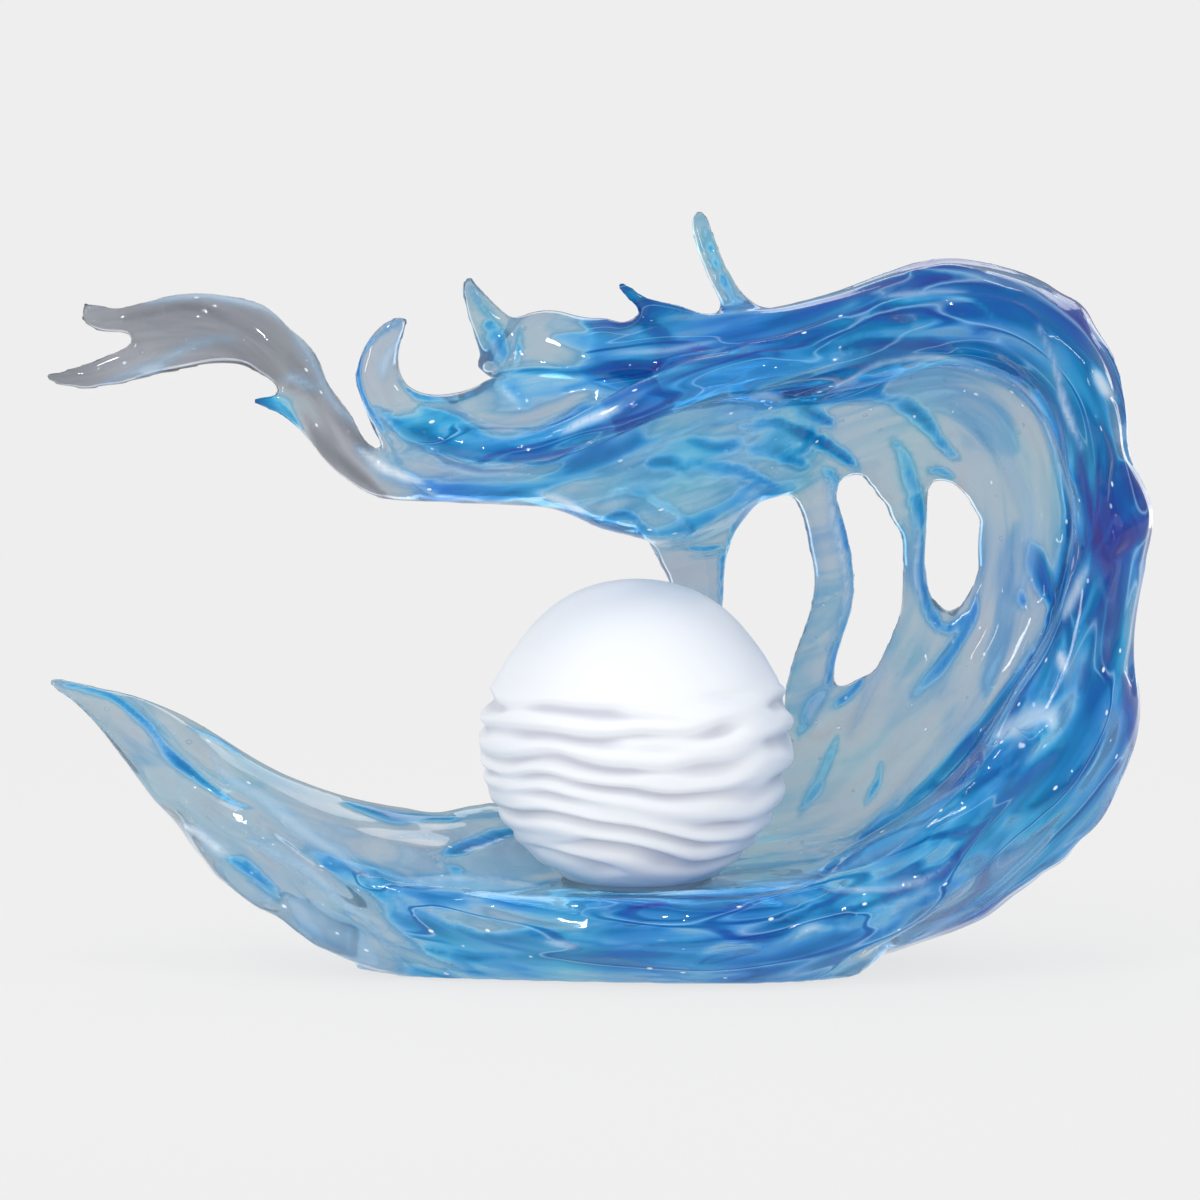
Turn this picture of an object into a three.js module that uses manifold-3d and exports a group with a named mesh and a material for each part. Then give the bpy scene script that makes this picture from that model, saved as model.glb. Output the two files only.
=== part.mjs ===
// Breaking-wave table ornament in clear and blue cast resin, with a white rippled globe in its trough.
// Millimetres, +X along the wave, -Y the viewed side, +Z up. Pieces are drawn with z = 0 on the ground
// flat underside; the origin of the whole is below its middle, on the plane of the pads' lower faces.
// The wave is a bonded set of castings: each loft below is one casting, coped to the ones before it.
import * as THREE from "three";
import { mergeVertices } from "three/addons/utils/BufferGeometryUtils.js";
import Module from "manifold-3d";

const wasm = await Module();
wasm.setup();

// Overall size of the wave, from the tongue's tip to the outer bulge, underside to spike, front to back
const WAVE_LENGTH = 600;
const WAVE_HEIGHT = 408;
const WAVE_DEPTH = 178;

// Bond between two castings, and the least clearance that any casting keeps from the globe
const GLUE_LINE = 0.3;
const GLOBE_CLEARANCE = 1;

// Globe: a solid white casting with a smooth crown and a band of water ripples
const GLOBE_RADIUS = 86;
const GLOBE_CENTRE_X = 20;
const GLOBE_BACK_Y = 78;
const GLOBE_BOTTOM_Z = 38;
const RIPPLE_PITCH = 13.2;
const RIPPLE_DEPTH = 4.2;
const RIPPLE_COUNT = 8;
const RIPPLE_BAND_BOTTOM = 12;
const SHOULDER_DEPTH = 3.2;

// Silicone ring that the globe rests on, let into the trough's dish
const RING_INNER_RADIUS = 33;
const RING_WIDTH = 7;
const RING_THICKNESS = 2.4;
const RING_CLEARANCE = 0.3;

// Clear pads under the foot, each in its own shallow pocket
const PAD_RADIUS = 6;
const PAD_THICKNESS = 2;
const PAD_PROUD = 1.2;
const PAD_CLEARANCE = 0.2;
const PAD_INSET = 14;

// Lofts are drawn on a wave of 600 x 178 x 408 and stretched to the sizes above
const stretch = new THREE.Vector3(WAVE_LENGTH / 600, WAVE_DEPTH / 178, WAVE_HEIGHT / 408);
const globeCentre = new THREE.Vector3(
  GLOBE_CENTRE_X,
  GLOBE_BACK_Y - GLOBE_RADIUS,
  GLOBE_BOTTOM_Z + GLOBE_RADIUS,
);

// Resins: deep blue body, pale clear body, near colourless splash, opaque white
const BLUE = { color: 0x2f86c8, roughness: 0.05, metalness: 0 };
const PALE = { color: 0xa9bcc6, roughness: 0.05, metalness: 0 };
const CLEAR = { color: 0xb4b6ba, roughness: 0.06, metalness: 0 };
const WHITE = { color: 0xf6f9fc, roughness: 0.55, metalness: 0 };
const SILICONE = { color: 0xd9dee2, roughness: 0.45, metalness: 0 };

// Middle of the whole, measured in the drawing
const MIDDLE_X = -1;
const MIDDLE_Y = -2.5;
const group = new THREE.Group();
group.position.set(-MIDDLE_X * stretch.x, -MIDDLE_Y * stretch.y, PAD_PROUD);

function addNode(name, geometry, finish) {
  const mesh = new THREE.Mesh(geometry, new THREE.MeshStandardMaterial(finish));
  mesh.name = name;
  group.add(mesh);
}

// Closed three.js geometry to a solid that can be cut and joined
function solidOf(geometry) {
  const bare = new THREE.BufferGeometry();
  bare.setAttribute("position", geometry.getAttribute("position").clone());
  if (geometry.index) bare.setIndex(geometry.index.clone());
  const welded = mergeVertices(bare, 1e-4);
  const corners = welded.index.array;
  const kept = [];
  for (let i = 0; i < corners.length; i += 3) {
    const [a, b, c] = [corners[i], corners[i + 1], corners[i + 2]];
    if (a !== b && b !== c && c !== a) kept.push(a, b, c);
  }
  const vertProperties = welded.attributes.position.array;
  const made = new wasm.Manifold(
    new wasm.Mesh({ numProp: 3, vertProperties, triVerts: new Uint32Array(kept) }),
  );
  if (made.volume() >= 0) return made;
  for (let i = 0; i < kept.length; i += 3) [kept[i + 1], kept[i + 2]] = [kept[i + 2], kept[i + 1]];
  return new wasm.Manifold(
    new wasm.Mesh({ numProp: 3, vertProperties, triVerts: new Uint32Array(kept) }),
  );
}

function geometryOf(solid) {
  const mesh = solid.getMesh();
  const positions = new Float32Array(mesh.numVert * 3);
  for (let i = 0; i < mesh.numVert; i++) {
    positions.set(mesh.vertProperties.subarray(i * mesh.numProp, i * mesh.numProp + 3), i * 3);
  }
  const geometry = new THREE.BufferGeometry();
  geometry.setAttribute("position", new THREE.BufferAttribute(positions, 3));
  geometry.setIndex(new THREE.BufferAttribute(mesh.triVerts, 1));
  geometry.computeVertexNormals();
  return geometry;
}

// Coping can leave a chip beyond the neighbour: the casting is its largest body
function largestBody(solid) {
  const bodies = solid.decompose();
  return bodies.reduce((best, body) => (body.volume() > best.volume() ? body : best));
}

// Closed skin over rings of points, each end a fan about its middle, with every face moved out by grow
function skinRings(rings, grow) {
  const count = rings[0].length;
  const positions = rings.flat().flatMap((point) => point.toArray());
  const index = [];
  for (let i = 0; i < rings.length - 1; i++) {
    for (let j = 0; j < count; j++) {
      const a = i * count + j;
      const b = i * count + ((j + 1) % count);
      index.push(a, b, a + count, b, b + count, a + count);
    }
  }
  for (const [ring, start, flip] of [
    [rings[0], 0, true],
    [rings.at(-1), (rings.length - 1) * count, false],
  ]) {
    const middle = new THREE.Vector3();
    ring.forEach((point) => middle.addScaledVector(point, 1 / count));
    const centre = positions.length / 3;
    positions.push(...middle.toArray());
    for (let j = 0; j < count; j++) {
      const a = start + j;
      const b = start + ((j + 1) % count);
      index.push(...(flip ? [b, a, centre] : [a, b, centre]));
    }
  }
  const corners = [];
  for (let i = 0; i < positions.length; i += 3) corners.push(new THREE.Vector3(...positions.slice(i, i + 3)));
  const faces = [];
  let volume = 0;
  for (let i = 0; i < index.length; i += 3) {
    const [a, b, c] = [corners[index[i]], corners[index[i + 1]], corners[index[i + 2]]];
    volume += a.dot(b.clone().cross(c));
    faces.push(new THREE.Vector3().crossVectors(b.clone().sub(a), c.clone().sub(a)).normalize());
  }
  const touching = corners.map(() => []);
  index.forEach((corner, i) => touching[corner].push(faces[Math.floor(i / 3)]));
  const grown = corners.map((corner, i) => {
    const out = new THREE.Vector3();
    touching[i].forEach((face) => out.add(face));
    out.normalize();
    const least = Math.min(...touching[i].map((face) => face.dot(out)));
    return corner.clone().addScaledVector(out, (Math.sign(volume) * grow) / Math.max(0.3, least));
  });
  const geometry = new THREE.BufferGeometry().setFromPoints(grown);
  geometry.setIndex(index);
  return geometry;
}

// Flow of resin: a lens-shaped section between rails. Each row holds one point per rail and the half
// thickness there. The frame at (u, w) gives the middle surface, its two directions and its normal.
function flowSurface(rows) {
  const rails = rows[0].rails.map(
    (_, k) =>
      new THREE.CatmullRomCurve3(
        rows.map((row) => new THREE.Vector3(...row.rails[k]).multiply(stretch)),
        false,
        "centripetal",
      ),
  );
  const halves = new THREE.SplineCurve(rows.map((row, i) => new THREE.Vector2(i, row.half)));
  const acrossAt = (u) => {
    const points = rails.map((rail) => rail.getPoint(THREE.MathUtils.clamp(u, 0, 1)));
    return points.length === 2
      ? new THREE.LineCurve3(points[0], points[1])
      : new THREE.CatmullRomCurve3(points, false, "centripetal");
  };
  return (u) => {
    const [before, here, after] = [acrossAt(u - 0.01), acrossAt(u), acrossAt(u + 0.01)];
    const frame = (w) => {
      const point = here.getPoint(w);
      const along = after.getPoint(w).sub(before.getPoint(w)).normalize();
      const over = here
        .getPoint(Math.min(1, w + 0.02))
        .sub(here.getPoint(Math.max(0, w - 0.02)))
        .normalize();
      return { point, along, over, normal: new THREE.Vector3().crossVectors(along, over).normalize() };
    };
    return { half: halves.getPoint(u).y * stretch.y, frame };
  };
}

// Loft of the lens over a flow surface
function flow(rows, { stepsPerRow = 2, across = 5, grow = 0 } = {}) {
  const surface = flowSurface(rows);
  const steps = stepsPerRow * (rows.length - 1);
  const rings = [];
  for (let i = 0; i <= steps; i++) {
    const { half, frame } = surface(i / steps);
    const ring = [];
    for (let j = 0; j < 2 * across; j++) {
      const angle = (Math.PI * j) / across;
      const { point, normal } = frame((1 - Math.cos(angle)) / 2);
      ring.push(point.addScaledVector(normal, half * Math.sin(angle)));
    }
    rings.push(ring);
  }
  return solidOf(skinRings(rings, grow));
}

// Raised streak of water on a flow: it follows a path of (u, w) places over the viewed face, its middle
// seated just under the flow's facets so that it grows out of them
const STREAK_SEAT = 0.95;
function streak(rows, path, { width, height, grow = 0 }) {
  const surface = flowSurface(rows);
  const line = new THREE.SplineCurve(path.map(([u, w]) => new THREE.Vector2(u, w)));
  const steps = 3 * (path.length - 1);
  const rings = [];
  for (let i = 0; i <= steps; i++) {
    const place = line.getPoint(i / steps);
    const { half, frame } = surface(place.x);
    const { point, over, normal } = frame(place.y);
    const viewed = normal.y < 0 ? 1 : -1;
    const lift = half * Math.sqrt(4 * place.y * (1 - place.y));
    point.addScaledVector(normal, viewed * STREAK_SEAT * lift);
    const slender = 0.25 + 0.75 * Math.sin((Math.PI * i) / steps) ** 0.6;
    const ring = [];
    for (let j = 0; j < 4; j++) {
      const angle = (Math.PI * j) / 2;
      ring.push(
        point
          .clone()
          .addScaledVector(over, -Math.cos(angle) * width * slender)
          .addScaledVector(normal, Math.sin(angle) * height * slender),
      );
    }
    rings.push(ring);
  }
  return solidOf(skinRings(rings, grow));
}

const box = (x0, x1, y0, y1, z0, z1) =>
  solidOf(
    new THREE.BoxGeometry(x1 - x0, y1 - y0, z1 - z0).translate(
      (x0 + x1) / 2,
      (y0 + y1) / 2,
      (z0 + z1) / 2,
    ),
  );
const belowUnderside = box(-2 * WAVE_LENGTH, 2 * WAVE_LENGTH, -WAVE_LENGTH, WAVE_LENGTH, -200, 0);

// Every casting keeps clear of the globe by the same ball of air
const globeRoom = solidOf(
  new THREE.SphereGeometry(GLOBE_RADIUS + GLOBE_CLEARANCE, 28, 18)
    .rotateX(Math.PI / 2)
    .translate(...globeCentre.toArray()),
);

// Castings in the order of bonding: each is ground flat below, cleared for the globe
// and coped with one glue line to every casting already in place
const placed = [];
function bond(name, finish, lofts, options = {}) {
  const build = (grow) =>
    lofts.map((make) => make(grow)).reduce((joined, solid) => joined.add(solid));
  const whole = build(0);
  let casting = whole.subtract(belowUnderside).subtract(globeRoom);
  for (const earlier of placed) casting = casting.subtract(earlier);
  if (options.cut) casting = options.cut(casting);
  casting = largestBody(casting);
  placed.push(whole.add(build(GLUE_LINE)));
  addNode(name, geometryOf(casting), finish);
}
const loft = (rows, options) => (grow) => flow(rows, { ...options, grow });
const raised = (rows, path, options) => (grow) => streak(rows, path, { ...options, grow });

// Foot and trough: sections across the wave, given by the lines of its two sides and three heights
const TROUGH = [
  { x: -132, front: -30, back: 24, frontRim: 26, floor: 34, backRim: 52 },
  { x: -104, front: -54, back: 46, frontRim: 36, floor: 40, backRim: 76, padded: true },
  { x: -68, front: -62, back: 56, frontRim: 40, floor: 42, backRim: 76 },
  { x: -25, front: -69, back: 66, frontRim: 42, floor: 44, backRim: 72 },
  { x: 20, front: -74, back: 74, frontRim: 43, floor: 46, backRim: 66, padded: true },
  { x: 65, front: -77, back: 76, frontRim: 43, floor: 47, backRim: 62 },
  { x: 105, front: -71, back: 68, frontRim: 46, floor: 52, backRim: 62, padded: true },
  { x: 134, front: -57, back: 50, frontRim: 49, floor: 55, backRim: 61 },
  { x: 150, front: -43, back: 36, frontRim: 52, floor: 57, backRim: 60, keel: 7 },
  { x: 161, front: -30, back: 24, frontRim: 54, floor: 58, backRim: 58, keel: 20 },
];
function troughSection({ x, front, back, frontRim, floor, backRim, keel = 0 }) {
  const middle = (front + back) / 2;
  const outline = [
    [front, keel],
    [front - 6, keel + 0.4 * (frontRim - keel)],
    [front - 1, 0.86 * frontRim],
    [front + 9, frontRim],
    [front + 24, (frontRim + floor) / 2],
    [middle, floor],
    [back - 24, (floor + backRim) / 2],
    [back - 9, backRim],
    [back + 2, 0.82 * backRim],
    [back + 6, keel + 0.4 * (backRim - keel)],
    [back, keel],
  ];
  return outline.map(([y, z]) => new THREE.Vector3(x, y, z).multiply(stretch));
}
function trough(grow) {
  const sections = TROUGH.map(troughSection);
  const lines = sections[0].map(
    (_, k) => new THREE.CatmullRomCurve3(sections.map((section) => section[k])),
  );
  const steps = 2 * (TROUGH.length - 1);
  const rings = [];
  for (let i = 0; i <= steps; i++) {
    rings.push(lines.map((line) => line.getPoint(i / steps)));
  }
  return solidOf(skinRings(rings, grow));
}

// Silicone ring between the globe and its dish, and the groove that it is let into
function ringBetween(inside, outside, spread) {
  const from = Math.asin(RING_INNER_RADIUS / GLOBE_RADIUS) - spread / GLOBE_RADIUS;
  const to =
    Math.asin((RING_INNER_RADIUS + RING_WIDTH) / GLOBE_RADIUS) + spread / GLOBE_RADIUS;
  const on = (radius, angle) =>
    new THREE.Vector2(radius * Math.sin(angle), -radius * Math.cos(angle));
  const profile = [
    on(outside, from),
    on(outside, to),
    on(inside, to),
    on(inside, from),
    on(outside, from),
  ];
  return solidOf(
    new THREE.LatheGeometry(profile, 28)
      .rotateX(Math.PI / 2)
      .translate(...globeCentre.toArray()),
  );
}
const ringInside = GLOBE_RADIUS + RING_CLEARANCE;
const ringOutside = ringInside + RING_THICKNESS;
const ringGroove = ringBetween(GLOBE_RADIUS - 4, ringOutside + RING_CLEARANCE, RING_CLEARANCE);

// Pads sit near the ends and the widest part of the foot, in from its edge
const padPlaces = TROUGH.filter((row) => row.padded).flatMap((row) => [
  [row.x * stretch.x, (row.front + PAD_INSET) * stretch.y],
  [row.x * stretch.x, (row.back - PAD_INSET) * stretch.y],
]);
const disc = (radius, bottom, top, [x, y]) =>
  new THREE.CylinderGeometry(radius, radius, top - bottom, 12)
    .rotateX(Math.PI / 2)
    .translate(x, y, (bottom + top) / 2);
const padTop = PAD_THICKNESS - PAD_PROUD;

bond("base_trough", BLUE, [trough], {
  cut: (casting) =>
    padPlaces.reduce(
      (body, place) =>
        body.subtract(
          solidOf(disc(PAD_RADIUS + PAD_CLEARANCE, -1, padTop + PAD_CLEARANCE, place)),
        ),
      casting.subtract(ringGroove),
    ),
});
padPlaces.forEach((place, i) =>
  addNode("foot_pad_" + (i + 1), disc(PAD_RADIUS, -PAD_PROUD, padTop, place), SILICONE),
);
addNode("seat_ring", geometryOf(ringBetween(ringInside, ringOutside, 0)), SILICONE);

// Right side of the wave: a swell out of the foot and the roll that climbs from it
const RIGHT_SWELL = [
  { rails: [[109, -25, 1], [78, -18, 41]], half: 26 },
  { rails: [[141, -15, 1], [114, -10, 53]], half: 36 },
  { rails: [[175, -5, 11], [146, 0, 70]], half: 43 },
  { rails: [[211, 0, 24], [177, 5, 89]], half: 46 },
  { rails: [[241, 0, 47], [200, 5, 112]], half: 47 },
  { rails: [[269, 0, 73], [215, 5, 135]], half: 47 },
  { rails: [[287, 0, 105], [227, 5, 153]], half: 45 },
  { rails: [[294, 0, 136], [236, 5, 166]], half: 43 },
  { rails: [[292, 0, 156], [242, 5, 178]], half: 41 },
];
const WIDE_STREAK = { width: 7, height: 6.5 };
const FINE_STREAK = { width: 5, height: 5 };
bond("right_swell", BLUE, [
  loft(RIGHT_SWELL),
  raised(RIGHT_SWELL, [[0.35, 0.3], [0.65, 0.36], [0.92, 0.34]], WIDE_STREAK),
]);

// Lip along the front of the trough, from the tongue up into the swell
const FRONT_RIDGE = [
  { rails: [[-170, -34, 70], [-163, -33, 56]], half: 2 },
  { rails: [[-149, -42, 63], [-128, -38, 12]], half: 7 },
  { rails: [[-115, -57, 56], [-91, -52, 6]], half: 10 },
  { rails: [[-80, -66, 52], [-53, -61, 4]], half: 11 },
  { rails: [[-43, -71, 48], [-11, -68, 3]], half: 12 },
  { rails: [[0, -74, 46], [32, -73, 3]], half: 13 },
  { rails: [[42, -76, 44], [72, -76, 3]], half: 13 },
  { rails: [[80, -74, 46], [109, -73, 6]], half: 13 },
  { rails: [[114, -68, 55], [141, -64, 14]], half: 13 },
  { rails: [[150, -58, 69], [174, -52, 30]], half: 12 },
  { rails: [[182, -50, 93], [204, -44, 55]], half: 10 },
  { rails: [[206, -44, 120], [223, -40, 87]], half: 7 },
  { rails: [[222, -38, 140], [231, -36, 124]], half: 2.5 },
];
bond("front_ridge", BLUE, [
  loft(FRONT_RIDGE, { across: 4 }),
  raised(FRONT_RIDGE, [[0.12, 0.3], [0.4, 0.52], [0.7, 0.5], [0.92, 0.3]], FINE_STREAK),
]);

// Long clear tongue to the left
const TONGUE = [
  { rails: [[-301, 10, 154], [-299, 8, 152], [-296, 6, 150]], half: 1.5 },
  { rails: [[-280, 15, 149], [-282, 7, 144], [-283, 0, 140]], half: 4 },
  { rails: [[-261, 20, 144], [-266, 4, 134], [-271, -6, 128]], half: 8 },
  { rails: [[-235, 26, 134], [-244, -2, 117], [-253, -11, 106]], half: 12 },
  { rails: [[-218, 30, 123], [-226, -9, 101], [-237, -15, 86]], half: 15 },
  { rails: [[-198, 34, 110], [-209, -15, 81], [-222, -19, 66]], half: 17 },
  { rails: [[-178, 38, 98], [-188, -22, 65], [-200, -23, 49]], half: 19 },
  { rails: [[-152, 40, 87], [-160, -30, 50], [-166, -27, 31]], half: 21 },
  { rails: [[-125, 42, 79], [-134, -38, 37], [-137, -31, 9]], half: 23 },
  { rails: [[-94, 42, 75], [-105, -42, 32], [-109, -34, 3]], half: 23 },
  { rails: [[-62, 50, 80], [-81, -40, 31], [-87, -36, 3]], half: 19 },
  { rails: [[-25, 64, 77], [-54, -24, 34], [-65, -34, 6]], half: 14 },
  { rails: [[17, 76, 69], [-22, 6, 38], [-43, -20, 14]], half: 8 },
  { rails: [[50, 84, 59], [6, 36, 39], [-22, 0, 17]], half: 3 },
];
const TONGUE_KEEL = TONGUE.map(({ rails, half }) => ({ rails: [rails[0], rails[2]], half: 1.15 * half }));
bond("left_tongue", PALE, [
  loft(TONGUE),
  loft(TONGUE_KEEL, { stepsPerRow: 1, across: 4 }),
  raised(TONGUE, [[0.09, 0.2], [0.23, 0.3], [0.38, 0.36]], FINE_STREAK),
  raised(TONGUE, [[0.38, 0.42], [0.54, 0.52], [0.71, 0.56]], WIDE_STREAK),
  raised(TONGUE, [[0.28, 0.82], [0.5, 0.84], [0.73, 0.8]], WIDE_STREAK),
]);

const RIGHT_RIDGE = [
  { rails: [[292, 0, 147], [237, 5, 168]], half: 41 },
  { rails: [[290, 0, 162], [244, 5, 181]], half: 41 },
  { rails: [[296, 0, 220], [252, 5, 219]], half: 42 },
  { rails: [[301, 0, 244], [253, 5, 241]], half: 44 },
  { rails: [[292, 0, 265], [252, 5, 262]], half: 43 },
  { rails: [[286, 0, 285], [249, 5, 279]], half: 42 },
  { rails: [[283, 0, 307], [244, 5, 295]], half: 42 },
  { rails: [[278, 0, 328], [234, 5, 307]], half: 42 },
  { rails: [[268, 0, 345], [222, 5, 318]], half: 41 },
];
bond("right_ridge", BLUE, [
  loft(RIGHT_RIDGE),
  raised(RIGHT_RIDGE, [[0.14, 0.34], [0.5, 0.46], [0.94, 0.34]], WIDE_STREAK),
  raised(RIGHT_RIDGE, [[0.14, 0.68], [0.5, 0.74], [0.94, 0.68]], FINE_STREAK),
]);

// Crest: the back roll, the lip under it, the raised crescent in front and the hook at its end
const CREST_ROLL = [
  { rails: [[274, 0, 333], [231, 5, 312]], half: 40 },
  { rails: [[265, 0, 350], [219, 5, 320]], half: 42 },
  { rails: [[247, 0, 367], [203, 5, 325]], half: 43 },
  { rails: [[219, 0, 379], [184, 5, 328]], half: 43 },
  { rails: [[186, 0, 384], [165, 5, 322]], half: 43 },
  { rails: [[159, 0, 377], [143, 5, 314]], half: 42 },
  { rails: [[133, 0, 367], [119, 5, 310]], half: 41 },
  { rails: [[103, 0, 358], [91, 5, 307]], half: 40 },
  { rails: [[70, 0, 353], [61, 5, 305]], half: 38 },
  { rails: [[41, 0, 350], [32, 5, 306]], half: 35 },
  { rails: [[14, 2, 348], [8, 6, 308]], half: 31 },
  { rails: [[-13, 5, 353], [-17, 8, 312]], half: 26 },
  { rails: [[-35, 7, 354], [-41, 10, 314]], half: 20 },
  { rails: [[-47, 7, 349], [-59, 9, 316]], half: 15 },
  { rails: [[-52, 8, 342], [-62, 9, 317]], half: 10 },
];
bond("crest_roll", BLUE, [
  loft(CREST_ROLL),
  raised(CREST_ROLL, [[0.08, 0.34], [0.3, 0.3], [0.6, 0.42], [0.92, 0.5]], WIDE_STREAK),
  raised(CREST_ROLL, [[0.08, 0.68], [0.3, 0.72], [0.6, 0.74], [0.86, 0.8]], FINE_STREAK),
]);

const CREST_LIP = [
  { rails: [[-116, -20, 284], [-121, -16, 255]], half: 7 },
  { rails: [[-92, -22, 297], [-97, -16, 252]], half: 15 },
  { rails: [[-64, -20, 317], [-69, -12, 250]], half: 21 },
  { rails: [[-38, -16, 326], [-43, -6, 249]], half: 25 },
  { rails: [[-11, -12, 328], [-14, -2, 242]], half: 27 },
  { rails: [[17, -8, 325], [14, 4, 233]], half: 27 },
  { rails: [[49, -4, 323], [41, 14, 226]], half: 25 },
  { rails: [[78, 0, 322], [78, 22, 243]], half: 21 },
  { rails: [[99, 3, 322], [98, 28, 252]], half: 15 },
  { rails: [[117, 4, 323], [116, 33, 256]], half: 9.5 },
];
bond("crest_lip", PALE, [
  loft(CREST_LIP, { across: 4 }),
  raised(CREST_LIP, [[0.12, 0.72], [0.4, 0.78], [0.8, 0.62]], FINE_STREAK),
]);

const CRESCENT = [
  { rails: [[-122, -30, 315], [-127, -30, 308]], half: 3 },
  { rails: [[-106, -36, 304], [-113, -34, 294]], half: 6 },
  { rails: [[-60, -47, 292], [-61, -42, 275]], half: 11 },
  { rails: [[-36, -49, 292], [-35, -44, 276]], half: 12 },
  { rails: [[-15, -50, 300], [-10, -45, 281]], half: 13 },
  { rails: [[6, -50, 311], [13, -45, 291]], half: 14 },
  { rails: [[28, -49, 322], [35, -44, 301]], half: 14 },
  { rails: [[88, -44, 336], [93, -40, 315]], half: 13 },
  { rails: [[123, -38, 338], [126, -36, 324]], half: 9 },
  { rails: [[152, -33, 342], [154, -32, 334]], half: 3 },
];
bond("crest_crescent", BLUE, [loft(CRESCENT, { across: 4 })]);

const HOOK = [
  { rails: [[-107, -36, 354], [-102, -36, 352]], half: 1.5 },
  { rails: [[-114, -36, 351], [-104, -36, 345]], half: 4 },
  { rails: [[-122, -35, 344], [-107, -35, 335]], half: 6.5 },
  { rails: [[-129, -33, 333], [-108, -33, 326]], half: 8.5 },
  { rails: [[-131, -31, 316], [-106, -31, 319]], half: 10.5 },
  { rails: [[-127, -29, 300], [-99, -29, 313]], half: 12.5 },
  { rails: [[-118, -27, 285], [-88, -27, 310]], half: 14.5 },
  { rails: [[-104, -25, 272], [-76, -25, 312]], half: 16 },
  { rails: [[-81, -23, 265], [-59, -23, 317]], half: 16 },
];
bond("crest_hook", BLUE, [loft(HOOK, { across: 4 })]);

// Clear veil inside the curl: an arch under the crest, a fan behind the globe, three strands between
const VEIL_ARCH = [
  { rails: [[108, 1, 324], [110, 20, 287], [110, 31, 252]], half: 5.5 },
  { rails: [[144, 4, 331], [146, 26, 291], [140, 38, 264]], half: 5 },
  { rails: [[170, 5, 338], [171, 31, 294], [168, 43, 258]], half: 5 },
  { rails: [[200, 5, 341], [196, 32, 294], [193, 45, 260]], half: 5 },
  { rails: [[230, 5, 333], [219, 32, 286], [205, 44, 248]], half: 5 },
  { rails: [[253, 5, 312], [231, 31, 270], [209, 42, 233]], half: 5 },
  { rails: [[266, 4, 282], [237, 30, 247], [208, 42, 216]], half: 5 },
  { rails: [[271, 3, 241], [237, 30, 218], [202, 44, 199]], half: 5 },
  { rails: [[269, 3, 202], [230, 34, 190], [193, 47, 187]], half: 5 },
  { rails: [[263, 4, 163], [221, 38, 154], [178, 54, 153]], half: 4.5 },
];
bond("veil_arch", PALE, [loft(VEIL_ARCH)]);

const VEIL_FAN = [
  { rails: [[51, 70, 40], [98, 60, 39], [150, 30, 46]], half: 5 },
  { rails: [[69, 78, 74], [126, 66, 70], [192, 26, 74]], half: 5 },
  { rails: [[89, 80, 107], [147, 68, 106], [220, 20, 107]], half: 5 },
  { rails: [[99, 77, 122], [159, 66, 127], [238, 16, 138]], half: 5.5 },
  { rails: [[103, 74, 135], [165, 62, 154], [257, 12, 181]], half: 5 },
];
bond("veil_fan", PALE, [loft(VEIL_FAN, { stepsPerRow: 3 })]);

const STRAND_RIGHT = [
  { rails: [[144, 38, 271], [184, 42, 270]], half: 5 },
  { rails: [[152, 44, 252], [181, 47, 251]], half: 6 },
  { rails: [[163, 50, 235], [179, 51, 235]], half: 6.5 },
  { rails: [[168, 56, 212], [181, 56, 214]], half: 6.5 },
  { rails: [[166, 60, 187], [186, 58, 190]], half: 6.5 },
  { rails: [[158, 64, 165], [195, 58, 179]], half: 6 },
  { rails: [[141, 68, 135], [198, 58, 154]], half: 5 },
];
bond("strand_right", PALE, [loft(STRAND_RIGHT, { across: 4 })]);

const STRAND_MID = [
  { rails: [[94, 26, 259], [138, 32, 276]], half: 5 },
  { rails: [[107, 36, 247], [131, 40, 254]], half: 6 },
  { rails: [[114, 44, 229], [136, 46, 236]], half: 7 },
  { rails: [[117, 52, 206], [142, 54, 210]], half: 7 },
  { rails: [[115, 60, 184], [141, 60, 186]], half: 7 },
  { rails: [[107, 68, 162], [133, 66, 161]], half: 6.5 },
  { rails: [[102, 74, 140], [132, 70, 138]], half: 6 },
  { rails: [[100, 78, 117], [141, 70, 118]], half: 5 },
];
bond("strand_mid", BLUE, [loft(STRAND_MID, { across: 4 })]);

const STRAND_FRONT = [
  { rails: [[7, 0, 244], [104, 20, 262]], half: 6 },
  { rails: [[24, 22, 226], [86, 30, 247]], half: 7 },
  { rails: [[33, 40, 210], [74, 40, 229]], half: 7.5 },
  { rails: [[38, 54, 193], [70, 54, 201]], half: 7.5 },
  { rails: [[42, 66, 169], [71, 66, 172]], half: 7 },
  { rails: [[47, 76, 140], [74, 76, 140]], half: 6.5 },
  { rails: [[51, 82, 111], [78, 82, 111]], half: 6 },
  { rails: [[52, 82, 77], [84, 82, 77]], half: 6 },
  { rails: [[51, 76, 43], [90, 72, 43]], half: 6 },
];
bond("strand_front", PALE, [loft(STRAND_FRONT, { across: 4 })]);

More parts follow.
